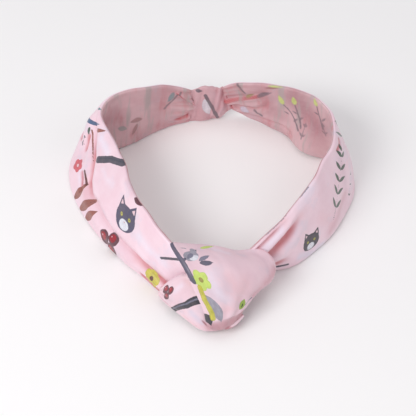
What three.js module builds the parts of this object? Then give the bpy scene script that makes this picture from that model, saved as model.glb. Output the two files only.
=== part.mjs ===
// Knotted headband: one long flattened satin tube, tied in a single overhand knot in front and closed
// behind by a short gathered sleeve with an elastic strip in it. It stands on its lower edge.
// Millimetres, +Z up, the knot towards -Y, the gather towards +Y.
// Origin: the centre of the bounding box in X and Y, on the plane that the lower edge rests on.
import * as THREE from "three";

// ---- driving dimensions (mm) ----
const SHIFT = new THREE.Vector3(-5.1, -20.4, 0); // from the stations' frame to the part's origin
const CLOTH = 1.1; // thickness of one layer, with its turned-in allowance
const LAYER_GAP = 0.5; // clear space between the tube's two layers at its edges
const PUFF_OUT = 3.2; // how far the outer layer bellies out at the middle of the band
const PUFF_IN = 1.2; // how far the inner layer bellies in
const KNOT_CLEAR = 0.018; // share of an arm left free at the knot, so that the arm can flex
const BACK_CLEAR = 0.003; // share of an arm left free at the gathered sleeve
const SLEEVE_X0 = -6.6; // the gathered sleeve's left end, at its top
const SLEEVE_X1 = 10.6; // its right end, at its top
const SLEEVE_LEAN0 = -1.6; // how far the foot of each end stands off its top
const SLEEVE_LEAN1 = 3.4;
const SLEEVE_WALL = 1.1;
const ELASTIC_HEIGHT = 15;
const ELASTIC_THICK = 1.0;
const FLOOR = 0;

// ---- stations along each arm, from the knot (first) to the gather (last) ----
// LU and LL are the upper and the lower edge of the left arm, RU and RL of the right arm.
const LU = [[-16.7, -35.2, 38.3], [-24.0, -26.7, 41.3], [-30.0, -18.3, 42.9], [-34.9, -9.8, 43.5], [-38.7, -1.2, 43.5], [-41.6, 7.7, 43.2], [-44.1, 16.5, 42.7], [-46.7, 25.1, 42.2], [-49.6, 33.3, 41.9], [-52.6, 41.0, 41.9], [-55.6, 47.8, 42.2], [-58.2, 53.7, 43.0], [-60.3, 58.7, 44.0], [-61.5, 63.1, 45.0], [-61.6, 67.1, 45.7], [-60.5, 70.9, 45.9], [-58.1, 74.5, 45.8], [-54.7, 77.9, 45.4], [-50.1, 81.2, 44.9], [-44.8, 84.5, 44.1], [-38.6, 87.7, 42.8], [-32.0, 91.2, 40.8], [-24.7, 94.6, 38.0], [-16.7, 97.3, 34.5], [-7.8, 98.8, 30.3]];
const LL = [[-25.8, -37.4, 0.0], [-33.5, -29.2, 0.0], [-40.8, -21.4, 0.0], [-47.8, -13.8, 0.0], [-54.5, -6.3, 0.0], [-60.9, 1.5, 0.0], [-66.7, 9.7, 0.0], [-71.9, 18.4, 0.0], [-76.2, 27.6, 0.0], [-79.5, 37.1, 0.0], [-81.7, 46.3, 0.3], [-82.6, 55.0, 0.6], [-82.1, 62.5, 0.9], [-80.3, 68.5, 1.0], [-77.1, 72.6, 1.0], [-72.6, 74.8, 0.8], [-67.2, 75.9, 0.4], [-61.3, 76.6, 0.1], [-55.2, 77.9, 0.0], [-49.0, 80.1, 0.0], [-42.6, 83.4, 0.0], [-35.9, 87.9, 0.0], [-28.6, 93.2, 0.1], [-20.0, 98.0, 0.3], [-9.3, 100.9, 0.6]];
const RU = [[28.7, -30.8, 30.6], [36.8, -23.5, 34.1], [43.8, -16.7, 36.6], [49.8, -10.2, 38.3], [54.9, -3.6, 39.7], [59.1, 3.1, 40.9], [62.8, 9.9, 41.9], [66.2, 16.6, 42.5], [69.6, 23.3, 42.8], [72.7, 29.9, 42.8], [75.3, 36.4, 42.8], [77.1, 42.8, 42.8], [78.1, 49.1, 42.8], [78.2, 55.5, 43.0], [77.3, 61.9, 43.2], [75.4, 68.3, 43.3], [72.3, 74.4, 43.3], [67.8, 79.9, 42.9], [61.9, 84.7, 42.1], [54.8, 88.9, 40.9], [46.6, 92.8, 39.3], [37.8, 96.7, 37.3], [28.7, 100.3, 34.9], [19.8, 102.6, 32.2], [11.5, 102.7, 29.0]];
const RL = [[33.1, -23.5, 0.0], [44.2, -22.0, 0.0], [53.3, -18.7, 0.0], [60.8, -14.1, 0.0], [66.9, -8.5, 0.0], [72.1, -2.2, 0.0], [76.6, 4.7, 0.0], [80.9, 12.0, 0.0], [85.0, 19.5, 0.0], [88.7, 27.0, 0.0], [91.5, 34.5, 0.1], [92.7, 41.8, 0.2], [92.4, 48.8, 0.2], [90.5, 55.4, 0.2], [87.1, 61.5, 0.1], [82.3, 67.1, 0.0], [76.5, 72.3, 0.0], [70.2, 77.4, 0.0], [63.5, 82.3, 0.0], [56.5, 87.2, 0.0], [49.2, 92.2, 0.0], [41.2, 97.3, 0.3], [32.7, 102.0, 0.8], [23.9, 105.3, 1.4], [15.1, 106.3, 2.0]];

// ---- the strands of the knot: two edge rails each, in order along the strand ----
// The wrap: folds over the knot's top, comes down in front and turns under it.
const WRAP_A = [[-15, -38.6, 42], [-16.3, -40.2, 43.5], [-13.7, -45, 43], [-9.8, -53.2, 40.5], [-5.9, -59.3, 35.5], [-1.9, -63.4, 28], [2.2, -66.5, 18.5], [5.8, -69.4, 10], [8.2, -69, 3.6], [8.6, -64.5, -4.5]];
const WRAP_B = [[31.4, -32, 27], [35.6, -33.2, 29.5], [39.6, -35, 27], [41.1, -37, 22], [39.4, -42, 17], [34.1, -46.4, 13.5], [28.4, -50.7, 11], [22.6, -58.6, 8], [19.4, -63.2, 3.6], [18.8, -60, -4.5]];
const WRAP_THICK = 3.6;
const WRAP_PUFF = 6;
// The tuck: lies over the end of the left arm, folded round its lower edge, and goes under the wrap.
const TUCK_A = [[-24.7, -45.1, 12], [-21.5, -46, 17.5], [-17.6, -46.8, 22.5], [-12.5, -48.7, 27.5], [-8.1, -50, 30]];
const TUCK_B = [[-26, -45, 8], [-22.6, -47, 5], [-17.3, -51.8, 3.2], [-8.5, -61.5, 2.4], [0.2, -68.6, 2.4]];
const TUCK_THICK = 3.4;
const TUCK_PUFF = 1.6;
// The core: the strand that passes behind the knot, upright, from the tuck's fold to the wrap's foot.
const CORE_A = [[-17.5, -41, 35.5], [-8, -42, 32], [6, -42, 27.5], [19, -40.5, 21.5], [27, -39, 15]];
const CORE_B = [[-25, -41, 2], [-12, -43.5, 1], [4, -46, 1], [17, -45, 1], [26, -41, 2]];
const CORE_THICK = 3;
const CORE_PUFF = 1.2;

const v3 = (p) => new THREE.Vector3(p[0], p[1], p[2]);

// A Catmull-Rom spline through the points, sampled at n + 1 even parameters from a to b.
function sampled(points, n, a = 0, b = 1) {
  const curve = new THREE.CatmullRomCurve3(points.map(v3), false, "centripetal");
  return Array.from({ length: n + 1 }, (_, i) => curve.getPoint(a + ((b - a) * i) / n));
}

// The outward unit normal of the ruled strip between the two rails, at each station.
function normals(A, B, side) {
  return A.map((a, i) => {
    const i0 = Math.max(0, i - 1), i1 = Math.min(A.length - 1, i + 1);
    const along = A[i1].clone().sub(A[i0]).add(B[i1]).sub(B[i0]);
    const across = B[i].clone().sub(a);
    return across.cross(along).normalize().multiplyScalar(side);
  });
}

// A closed slab between two grids of points, near[i][j] and far[i][j], with far on the outward side.
function slab(near, far) {
  const rows = near.length, cols = near[0].length, pos = [], idx = [];
  for (const g of [near, far]) for (const row of g) for (const p of row) pos.push(p.x + SHIFT.x, p.y + SHIFT.y, Math.max(p.z, FLOOR) + SHIFT.z);
  const N = (i, j) => i * cols + j, F = (i, j) => rows * cols + i * cols + j;
  const quad = (a, b, c, d) => idx.push(a, b, c, a, c, d);
  for (let i = 0; i + 1 < rows; i++) {
    for (let j = 0; j + 1 < cols; j++) {
      quad(F(i, j), F(i + 1, j), F(i + 1, j + 1), F(i, j + 1));
      quad(N(i, j), N(i, j + 1), N(i + 1, j + 1), N(i + 1, j));
    }
    quad(N(i, 0), N(i + 1, 0), F(i + 1, 0), F(i, 0));
    quad(N(i, cols - 1), F(i, cols - 1), F(i + 1, cols - 1), N(i + 1, cols - 1));
  }
  for (let j = 0; j + 1 < cols; j++) {
    quad(N(0, j), F(0, j), F(0, j + 1), N(0, j + 1));
    quad(N(rows - 1, j), N(rows - 1, j + 1), F(rows - 1, j + 1), F(rows - 1, j));
  }
  const g = new THREE.BufferGeometry();
  g.setAttribute("position", new THREE.Float32BufferAttribute(pos, 3));
  g.setIndex(idx);
  // face outward whichever way the rails run
  let six = 0;
  const P = (k) => new THREE.Vector3(pos[3 * k], pos[3 * k + 1], pos[3 * k + 2]);
  for (let k = 0; k < idx.length; k += 3) six += P(idx[k]).dot(P(idx[k + 1]).cross(P(idx[k + 2])));
  if (six < 0) for (let k = 0; k < idx.length; k += 3) [idx[k + 1], idx[k + 2]] = [idx[k + 2], idx[k + 1]];
  g.setIndex(idx);
  g.computeVertexNormals();
  return g;
}

// One layer of the band: a sheet offset from the ruled strip by off at its edges and by off + puff at its middle.
// swell(t) scales the belly along the strand.
function layer(A, B, normal, cols, off, puff, thick, swell = () => 1) {
  const row = (i, extra) => Array.from({ length: cols + 1 }, (_, j) => {
    const v = j / cols, out = off + puff * swell(i / (A.length - 1)) * Math.sin(Math.PI * v) + extra;
    return A[i].clone().lerp(B[i], v).addScaledVector(normal[i], out);
  });
  const a = A.map((_, i) => row(i, 0)), b = A.map((_, i) => row(i, thick));
  return slab(a, b);
}

const material = (color, roughness) => new THREE.MeshStandardMaterial({ color, roughness, metalness: 0, side: THREE.FrontSide });
const PINK = 0xf2c4c8, DEEP = 0xd99aa2, LINING = 0xd8a4aa, WHITE = 0xf1efea, THREAD = 0xe6a9b0;
const headband = new THREE.Group();
headband.name = "knotted_headband";
function piece(name, geometry, color, roughness) {
  const mesh = new THREE.Mesh(geometry, material(color, roughness));
  mesh.name = name;
  headband.add(mesh);
  return mesh;
}

// ---- the two arms: an outer and an inner layer each ----
const ARM_ROWS = 26, ARM_COLS = 5;
for (const [side, U, L, sign] of [["left", LU, LL, -1], ["right", RU, RL, 1]]) {
  const A = sampled(U, ARM_ROWS, KNOT_CLEAR, 1 - BACK_CLEAR), B = sampled(L, ARM_ROWS, KNOT_CLEAR, 1 - BACK_CLEAR);
  const n = normals(A, B, sign);
  piece(side + "_arm_face_panel", layer(A, B, n, ARM_COLS, LAYER_GAP / 2, PUFF_OUT, CLOTH), PINK, 0.45);
  piece(side + "_arm_lining_panel", layer(A, B, n, ARM_COLS, -LAYER_GAP / 2 - CLOTH, -PUFF_IN, CLOTH), LINING, 0.55);
  // a row of stitches along the end that joins the sleeve, on the outer layer
  const k = ARM_ROWS - 1, C = [A[k].clone().lerp(A[k + 1], 0.3), A[k].clone().lerp(A[k + 1], 0.7)], D = [B[k].clone().lerp(B[k + 1], 0.3), B[k].clone().lerp(B[k + 1], 0.7)];
  const m = [n[k], n[k]];
  const inset = (P, Q, t) => P.map((p, i) => p.clone().lerp(Q[i], t));
  piece(side + "_join_stitching", layer(inset(C, D, 0.06), inset(C, D, 0.94), m, ARM_COLS, LAYER_GAP / 2 + CLOTH + 1.0, PUFF_OUT, 0.6), THREAD, 0.7);
}

// ---- the knot ----
function strand(name, A0, B0, rows, cols, thick, puff, side, color, swell) {
  const A = sampled(A0, rows), B = sampled(B0, rows), n = normals(A, B, side);
  piece(name, layer(A, B, n, cols, -thick, puff, thick, swell), color, 0.45);
}
strand("knot_wrap", WRAP_A, WRAP_B, 16, 8, WRAP_THICK, WRAP_PUFF, -1, PINK, (t) => Math.min(1, t / 0.4) * Math.min(1, (1 - t) / 0.3));
strand("knot_tuck", TUCK_A, TUCK_B, 8, 5, TUCK_THICK, TUCK_PUFF, 1, PINK);
strand("knot_core", CORE_A, CORE_B, 8, 5, CORE_THICK, CORE_PUFF, 1, DEEP);
// a few hand stitches inside the knot that hold its strands together
const tack = new THREE.BoxGeometry(9, 2.2, 1.2);
tack.translate(4 + SHIFT.x, -49.2 + SHIFT.y, 15 + SHIFT.z);
piece("knot_tack_stitch", tack, THREAD, 0.7);

// ---- the gathered sleeve at the back, open at both ends, and the elastic inside it ----
const SLEEVE_STEPS = 10, SLEEVE_SIDES = 20;
const mix = (a, b, t) => a + (b - a) * t;
function sleeveRing(t, inner) {
  // an upright flattened ring, nipped at both ends, with a hump at the middle of its top edge
  const nip = Math.sin(Math.PI * Math.min(1, Math.max(0, t)));
  const x = mix(SLEEVE_X0, SLEEVE_X1, t), y = mix(100.2, 104.6, t);
  const top = mix(30.4, 29.2, t) + 0.6 * nip, low = mix(1.2, 1.8, t) - 1.2 * nip;
  const half = (top - low) / 2 - inner, deep = 2.9 + 1.5 * nip - inner;
  return Array.from({ length: SLEEVE_SIDES }, (_, k) => {
    const a = (2 * Math.PI * k) / SLEEVE_SIDES;
    const foot = 0.5 - 0.5 * Math.cos(a);
    return new THREE.Vector3(x + foot * mix(SLEEVE_LEAN0, SLEEVE_LEAN1, t), y + deep * Math.sin(a), (top + low) / 2 + half * Math.cos(a));
  });
}
{
  const pos = [], idx = [], n = SLEEVE_STEPS + 1, m = SLEEVE_SIDES;
  for (const inner of [0, SLEEVE_WALL]) for (let i = 0; i < n; i++) for (const p of sleeveRing(i / SLEEVE_STEPS, inner)) pos.push(p.x + SHIFT.x, p.y + SHIFT.y, p.z + SHIFT.z);
  const O = (i, k) => i * m + (k % m), I = (i, k) => n * m + i * m + (k % m);
  const quad = (a, b, c, d) => idx.push(a, b, c, a, c, d);
  for (let i = 0; i + 1 < n; i++) for (let k = 0; k < m; k++) {
    quad(O(i, k), O(i, k + 1), O(i + 1, k + 1), O(i + 1, k));
    quad(I(i, k), I(i + 1, k), I(i + 1, k + 1), I(i, k + 1));
  }
  for (let k = 0; k < m; k++) {
    quad(O(0, k), I(0, k), I(0, k + 1), O(0, k + 1));
    quad(O(n - 1, k), O(n - 1, k + 1), I(n - 1, k + 1), I(n - 1, k));
  }
  let six = 0;
  const P = (k) => new THREE.Vector3(pos[3 * k], pos[3 * k + 1], pos[3 * k + 2]);
  for (let k = 0; k < idx.length; k += 3) six += P(idx[k]).dot(P(idx[k + 1]).cross(P(idx[k + 2])));
  if (six < 0) for (let k = 0; k < idx.length; k += 3) [idx[k + 1], idx[k + 2]] = [idx[k + 2], idx[k + 1]];
  const g = new THREE.BufferGeometry();
  g.setAttribute("position", new THREE.Float32BufferAttribute(pos, 3));
  g.setIndex(idx);
  g.computeVertexNormals();
  piece("elastic_casing", g, PINK, 0.5);
}
const yaw = Math.atan2(104.6 - 100.2, SLEEVE_X1 - SLEEVE_X0);
const elastic = piece("elastic_strip", new THREE.BoxGeometry((SLEEVE_X1 - SLEEVE_X0) / Math.cos(yaw) - 1.6, ELASTIC_THICK, ELASTIC_HEIGHT), WHITE, 0.8);
elastic.position.set((SLEEVE_X0 + SLEEVE_X1) / 2 + SHIFT.x, 102.4 + SHIFT.y, 16.2 + SHIFT.z);
elastic.rotation.z = yaw;
for (const [side, dx] of [["left", -7.2], ["right", 7.2]]) {
  // the zigzag bartack that holds each end of the elastic
  const bar = piece(side + "_elastic_bartack", new THREE.BoxGeometry(1.8, 0.5, ELASTIC_HEIGHT - 2), THREAD, 0.7);
  bar.position.set((SLEEVE_X0 + SLEEVE_X1) / 2 + dx * Math.cos(yaw) + SHIFT.x + 1.05 * Math.sin(yaw), 102.4 + dx * Math.sin(yaw) - 1.05 * Math.cos(yaw) + SHIFT.y, 16.2 + SHIFT.z);
  bar.rotation.z = yaw;
}

export default headband;
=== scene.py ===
import bpy
import math
import numpy as np
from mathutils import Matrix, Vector


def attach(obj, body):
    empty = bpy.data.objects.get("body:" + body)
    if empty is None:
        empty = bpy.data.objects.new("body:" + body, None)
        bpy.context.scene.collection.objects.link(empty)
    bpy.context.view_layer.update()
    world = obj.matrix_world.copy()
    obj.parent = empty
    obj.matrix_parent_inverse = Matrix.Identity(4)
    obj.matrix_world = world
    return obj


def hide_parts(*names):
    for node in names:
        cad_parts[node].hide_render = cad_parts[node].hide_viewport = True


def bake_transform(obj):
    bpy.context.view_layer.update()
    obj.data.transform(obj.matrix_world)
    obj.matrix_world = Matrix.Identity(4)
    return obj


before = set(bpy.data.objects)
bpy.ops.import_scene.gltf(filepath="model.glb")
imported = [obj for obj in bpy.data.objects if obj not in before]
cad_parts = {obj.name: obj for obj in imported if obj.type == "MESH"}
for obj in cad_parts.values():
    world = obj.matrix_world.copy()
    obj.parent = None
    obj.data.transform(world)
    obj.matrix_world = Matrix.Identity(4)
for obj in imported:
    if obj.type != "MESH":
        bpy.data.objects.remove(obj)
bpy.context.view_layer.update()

# ============================================================================================
# GEOMETRY (numpy only, millimetres in the stations' frame; SHIFT takes it to the part's origin)
# ============================================================================================
# --- geometry begin
SHIFT = np.array([-5.1, -20.4, 0.0])

LU = [[-16.7, -35.2, 38.3], [-24.0, -26.7, 41.3], [-30.0, -18.3, 42.9], [-34.9, -9.8, 43.5], [-38.7, -1.2, 43.5], [-41.6, 7.7, 43.2], [-44.1, 16.5, 42.7], [-46.7, 25.1, 42.2], [-49.6, 33.3, 41.9], [-52.6, 41.0, 41.9], [-55.6, 47.8, 42.2], [-58.2, 53.7, 43.0], [-60.3, 58.7, 44.0], [-61.5, 63.1, 45.0], [-61.6, 67.1, 45.7], [-60.5, 70.9, 45.9], [-58.1, 74.5, 45.8], [-54.7, 77.9, 45.4], [-50.1, 81.2, 44.9], [-44.8, 84.5, 44.1], [-38.6, 87.7, 42.8], [-32.0, 91.2, 40.8], [-24.7, 94.6, 38.0], [-16.7, 97.3, 34.5], [-7.8, 98.8, 30.3]]
LL = [[-25.8, -37.4, 0.0], [-33.5, -29.2, 0.0], [-40.8, -21.4, 0.0], [-47.8, -13.8, 0.0], [-54.5, -6.3, 0.0], [-60.9, 1.5, 0.0], [-66.7, 9.7, 0.0], [-71.9, 18.4, 0.0], [-76.2, 27.6, 0.0], [-79.5, 37.1, 0.0], [-81.7, 46.3, 0.3], [-82.6, 55.0, 0.6], [-82.1, 62.5, 0.9], [-80.3, 68.5, 1.0], [-77.1, 72.6, 1.0], [-72.6, 74.8, 0.8], [-67.2, 75.9, 0.4], [-61.3, 76.6, 0.1], [-55.2, 77.9, 0.0], [-49.0, 80.1, 0.0], [-42.6, 83.4, 0.0], [-35.9, 87.9, 0.0], [-28.6, 93.2, 0.1], [-20.0, 98.0, 0.3], [-9.3, 100.9, 0.6]]
RU = [[28.7, -30.8, 30.6], [36.8, -23.5, 34.1], [43.8, -16.7, 36.6], [49.8, -10.2, 38.3], [54.9, -3.6, 39.7], [59.1, 3.1, 40.9], [62.8, 9.9, 41.9], [66.2, 16.6, 42.5], [69.6, 23.3, 42.8], [72.7, 29.9, 42.8], [75.3, 36.4, 42.8], [77.1, 42.8, 42.8], [78.1, 49.1, 42.8], [78.2, 55.5, 43.0], [77.3, 61.9, 43.2], [75.4, 68.3, 43.3], [72.3, 74.4, 43.3], [67.8, 79.9, 42.9], [61.9, 84.7, 42.1], [54.8, 88.9, 40.9], [46.6, 92.8, 39.3], [37.8, 96.7, 37.3], [28.7, 100.3, 34.9], [19.8, 102.6, 32.2], [11.8, 102.8, 28.8]]
RL = [[33.1, -23.5, 0.0], [44.2, -22.0, 0.0], [53.3, -18.7, 0.0], [60.8, -14.1, 0.0], [66.9, -8.5, 0.0], [72.1, -2.2, 0.0], [76.6, 4.7, 0.0], [80.9, 12.0, 0.0], [85.0, 19.5, 0.0], [88.7, 27.0, 0.0], [91.5, 34.5, 0.1], [92.7, 41.8, 0.2], [92.4, 48.8, 0.2], [90.5, 55.4, 0.2], [87.1, 61.5, 0.1], [82.3, 67.1, 0.0], [75.4, 70.6, 0.0], [68.6, 75.0, 0.0], [62.2, 80.2, 0.0], [56.2, 86.4, 0.0], [49.2, 92.2, 0.0], [41.2, 97.3, 0.3], [33.2, 101.9, 1.4], [25.0, 105.2, 3.8], [18.0, 106.0, 7.2]]
# the arms run on into the knot, under its strands
LU = [[-3.0, -45.5, 30.0], [-9.5, -41.5, 34.5]] + LU
LL = [[-12.5, -47.5, 5.0], [-19.0, -42.8, 1.5]] + LL
RU = [[14.0, -38.0, 22.0], [21.5, -35.5, 26.5]] + RU
RL = [[13.0, -35.0, 4.0], [22.5, -28.5, 1.2]] + RL


def spline(points, t):
    """Uniform Catmull-Rom through the points, at parameters t from 0 to 1."""
    p = np.asarray(points, float)
    n = len(p)
    q = np.vstack([2 * p[0] - p[1], p, 2 * p[-1] - p[-2]])
    x = np.clip(np.asarray(t, float), 0, 1) * (n - 1)
    i = np.minimum(x.astype(int), n - 2)
    f = (x - i)[:, None]
    a, b, c, d = q[i], q[i + 1], q[i + 2], q[i + 3]
    return 0.5 * (2 * b + (c - a) * f + (2 * a - 5 * b + 4 * c - d) * f ** 2 + (3 * b - a - 3 * c + d) * f ** 3)


def smooth(x, a, b):
    t = np.clip((x - a) / (b - a), 0, 1)
    return t * t * (3 - 2 * t)


def bell(x, c, w):
    return np.exp(-((x - c) / w) ** 2)


class Strip:
    """A ruled ribbon between two edge rails, with rows along it (u, mm) and columns across it (v, 0 at rail A)."""

    def __init__(self, A, B, rows, side, even=True):
        t = np.linspace(0, 1, rows)
        if even:
            fine = np.linspace(0, 1, 800)
            m = (spline(A, fine) + spline(B, fine)) / 2
            L = np.concatenate([[0], np.cumsum(np.linalg.norm(np.diff(m, axis=0), axis=1))])
            t = np.interp(np.linspace(0, L[-1], rows), L, fine)
        self.t = t
        self.A, self.B = spline(A, t), spline(B, t)
        mid = (self.A + self.B) / 2
        self.u = np.concatenate([[0], np.cumsum(np.linalg.norm(np.diff(mid, axis=0), axis=1))])
        self.w = np.linalg.norm(self.B - self.A, axis=1)
        d = np.gradient(self.A, axis=0) + np.gradient(self.B, axis=0)
        n = np.cross(self.B - self.A, d) * side
        self.n = n / np.linalg.norm(n, axis=1)[:, None]

    def at(self, v, off):
        """Points for the columns v (cols,) or (rows, cols), lifted by off (rows, cols)."""
        v = np.broadcast_to(v, off.shape)
        P = self.A[:, None] + (self.B - self.A)[:, None] * v[..., None]
        return P + self.n[:, None] * off[..., None]


def columns(cols, crowd=0.55):
    """Column parameters from 0 to 1, closer together at the two edges."""
    x = np.linspace(0, 1, cols)
    return (1 - crowd) * x + crowd * (0.5 - 0.5 * np.cos(np.pi * x))


def edge_round(v, w, half, radius):
    """Half thickness of a flattened tube at column v: round at both folded edges."""
    d = np.minimum(v, 1 - v) * w[:, None]
    x = np.clip(d / radius, 0, 1)
    return half * np.sqrt(np.clip(1 - (1 - x) ** 2, 0, 1))


def wobble(u, v, seed, scale, amount):
    """Smooth, repeatable unevenness of cloth: a few crossed long waves."""
    r = np.random.default_rng(seed)
    out = np.zeros_like(u)
    for _ in range(6):
        a = r.uniform(0, 2 * np.pi)
        k = 2 * np.pi / (scale * r.uniform(0.7, 1.6))
        out += np.sin(k * (u * np.cos(a) + v * np.sin(a)) + r.uniform(0, 6.28))
    return out * amount / 6


def grid_normals(P, like=None):
    """Unit normals of a grid of points, turned to agree with the reference normals where they are given."""
    n = np.cross(np.gradient(P, axis=1), np.gradient(P, axis=0))
    n /= np.linalg.norm(n, axis=2)[..., None] + 1e-12
    if like is not None:
        n *= np.where((n * like).sum(2) < 0, -1.0, 1.0)[..., None]
    return n


def track(U, V, pts):
    """For every point: signed distance (mm) to a polyline, and how far along it (0 to 1) the nearest point lies."""
    p = np.asarray(pts, float)
    seg = np.linalg.norm(np.diff(p, axis=0), axis=1)
    start = np.concatenate([[0], np.cumsum(seg)])
    best, s, side = np.full(U.shape, 1e9), np.zeros(U.shape), np.zeros(U.shape)
    for k in range(len(p) - 1):
        d = p[k + 1] - p[k]
        w = np.clip(((U - p[k, 0]) * d[0] + (V - p[k, 1]) * d[1]) / (d @ d), 0, 1)
        x, y = U - p[k, 0] - w * d[0], V - p[k, 1] - w * d[1]
        q = np.hypot(x, y)
        m = q < best
        best[m], s[m] = q[m], ((start[k] + w * seg[k]) / start[-1])[m]
        side[m] = np.sign(d[0] * y - d[1] * x)[m]
    return best * np.where(side < 0, -1, 1), s


def ends(s, a=0.15, b=0.15):
    """Fades a fold in over its first part and out over its last."""
    return (smooth(s, 0, a) if a > 0 else 1.0) * (1 - smooth(s, 1 - b, 1) if b > 0 else 1.0)


def valley(U, V, pts, depth, wide, a=0.15, b=0.15, lip=0.35):
    """A soft fold line: a groove with a low lip at each side. Returns (offset, how deep in the fold)."""
    d, s = track(U, V, pts)
    e = ends(s, a, b)
    g = np.exp(-(d / wide) ** 2)
    h = -depth * g + lip * depth * (np.exp(-((np.abs(d) - 2.1 * wide) / (1.1 * wide)) ** 2))
    return h * e, g * e


def overlap(U, V, pts, height, roll, reach, a=0.15, b=0.15, side=1):
    """A fold that laps over: a rounded ridge, a steep drop on one side and a slow rise after it."""
    d, s = track(U, V, pts)
    d, e = d * side, ends(s, a, b)
    ridge = np.where(d < 0, np.exp(-(d / roll) ** 2), np.exp(-(d / 0.7) ** 2))
    ditch = np.where(d > 0, (1 - np.exp(-(d / 0.7) ** 2)) * np.exp(-(d / reach) ** 2), 0)
    return (height * ridge - 0.55 * height * ditch) * e, np.where(d > -0.5, np.exp(-(d / (0.45 * reach)) ** 2), 0) * e


# ---- the print: every ink is a signed distance (mm, positive inside), drawn on the cloth's own coordinates ----
INKS = ["grey", "char", "brown", "teal", "blue", "maroon", "red", "coral", "green", "leafgreen", "navy", "black", "lime", "yellow", "limepale", "olive", "white", "slate", "slatedk",
        "dkbrown", "dkgreen", "mauve", "lilac", "blush", "coralpale", "orange", "inkwash", "brownwash", "tealwash"]
REACH = 1.5


class Print:
    def __init__(self, U, V):
        # ink holds the print; the last dict holds soft patches of painted highlight and painted shade
        self.U, self.V, self.ink, self.painted_light = U, V, {}, {}

    def _near(self, p, r):
        lo, hi = p.min(0) - r - REACH, p.max(0) + r + REACH
        return np.nonzero((self.U > lo[0]) & (self.U < hi[0]) & (self.V > lo[1]) & (self.V < hi[1]))

    def _put(self, ink, at, d):
        if not len(at[0]):
            return
        a = self.ink.setdefault(ink, np.full(self.U.shape, -REACH))
        a[at] = np.maximum(a[at], np.clip(d, -REACH, REACH))

    def shape(self, ink, pts, grow=0.0):
        p = np.asarray(pts, float)
        at = self._near(p, abs(grow))
        x, y = self.U[at], self.V[at]
        best, inside = np.full(x.shape, 1e9), np.zeros(x.shape, bool)
        for a, b in zip(p, np.roll(p, -1, axis=0)):
            d = b - a
            w = np.clip(((x - a[0]) * d[0] + (y - a[1]) * d[1]) / (d @ d + 1e-12), 0, 1)
            best = np.minimum(best, np.hypot(x - a[0] - w * d[0], y - a[1] - w * d[1]))
            cross = (a[1] > y) != (b[1] > y)
            with np.errstate(divide="ignore", invalid="ignore"):
                inside ^= cross & (x < (b[0] - a[0]) * (y - a[1]) / (b[1] - a[1] + 1e-15) + a[0])
        self._put(ink, at, np.where(inside, best, -best) + grow)

    def stroke(self, ink, pts, widths):
        p = np.asarray(pts, float)
        w = np.interp(np.linspace(0, 1, len(p)), np.linspace(0, 1, len(widths)), widths) / 2
        at = self._near(p, w.max())
        x, y = self.U[at], self.V[at]
        best = np.full(x.shape, -1e9)
        for k in range(len(p) - 1):
            d = p[k + 1] - p[k]
            f = np.clip(((x - p[k, 0]) * d[0] + (y - p[k, 1]) * d[1]) / (d @ d + 1e-12), 0, 1)
            best = np.maximum(best, w[k] + (w[k + 1] - w[k]) * f - np.hypot(x - p[k, 0] - f * d[0], y - p[k, 1] - f * d[1]))
        self._put(ink, at, best)

    def dot(self, ink, c, r):
        self.stroke(ink, [c, (c[0] + 0.01, c[1])], [2 * r, 2 * r])

    def leaf(self, ink, base, tip, wide, bend=0.0):
        """A willow leaf: two arcs from base to tip."""
        a, b = np.asarray(base, float), np.asarray(tip, float)
        s = np.linspace(0, 1, 9)[:, None]
        d = b - a
        m = np.array([-d[1], d[0]]) / (np.linalg.norm(d) + 1e-9)
        mid = a + d * s + m * bend * np.sin(np.pi * s)
        h = wide / 2 * np.sin(np.pi * s ** 0.8)
        self.shape(ink, np.vstack([mid + m * h, (mid - m * h)[::-1]]))


def fit(o, ex, ey):
    """Own drawings are made in millimetres with x to the right and y up; this lays them on the cloth."""
    o, ex, ey = np.asarray(o, float), np.asarray(ex, float), np.asarray(ey, float)
    return lambda pts: o + np.asarray(pts, float).reshape(-1, 2) @ np.vstack([ex, ey])


def round_poly(pts, n=4):
    """The same outline with soft corners (closed Catmull-Rom)."""
    p = np.asarray(pts, float)
    out = []
    for i in range(len(p)):
        a, b, c, d = p[i - 1], p[i], p[(i + 1) % len(p)], p[(i + 2) % len(p)]
        for f in np.linspace(0, 1, n, endpoint=False):
            out.append(0.5 * (2 * b + (c - a) * f + (2 * a - 5 * b + 4 * c - d) * f ** 2 + (3 * b - a - 3 * c + d) * f ** 3))
    return np.array(out)


def draw(pr, rows):
    """Lays a list of motifs, and soft patches of painted highlight and shade, on a piece of cloth."""
    for kind, ink, pts, size in rows:
        if kind == "blob":
            pr.shape(ink, round_poly(pts), size)
        elif kind == "shape":
            pr.shape(ink, pts, size)
        elif kind == "stroke":
            pr.stroke(ink, pts, size)
        elif kind == "dot":
            pr.dot(ink, pts, size)
        elif kind == "leaf":
            pr.leaf(ink, pts[0], pts[1], size[0], size[1])
        elif kind == "painted_light":  # a soft patch of painted light: pearl, lift and cool are painted highlights and sheen; warm, dusk, shade, deepshade and hollow are painted shade
            d, s = track(pr.U, pr.V, pts)
            pr.painted_light[ink] = np.maximum(pr.painted_light.get(ink, 0 * pr.U), size[1] * np.exp(-(d / size[0]) ** 2))
    return pr


def berries(pr, m):
    for x, y, r in [(0, 0, 2.9), (-3.2, 1.6, 2.2), (2.6, 2.6, 2.4), (-1.2, 4.2, 2.1), (1.5, -3.4, 2.2), (-2.8, -2.4, 1.9), (4.6, -1.0, 1.7), (3.4, -5.6, 1.4)]:
        pr.dot("maroon", m((x, y))[0], r)
    for x, y, r in [(0.4, 0.4, 1.3), (-3.0, 1.9, 1.0), (2.7, 2.9, 1.1), (1.5, -3.2, 1.0)]:
        pr.dot("red", m((x, y))[0], r)
    for x, y, r in [(0.9, 1.2, 0.45), (-2.7, 2.5, 0.4), (3.1, 3.4, 0.4), (1.9, -2.6, 0.4)]:
        pr.dot("blush", m((x, y))[0], r)


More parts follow.
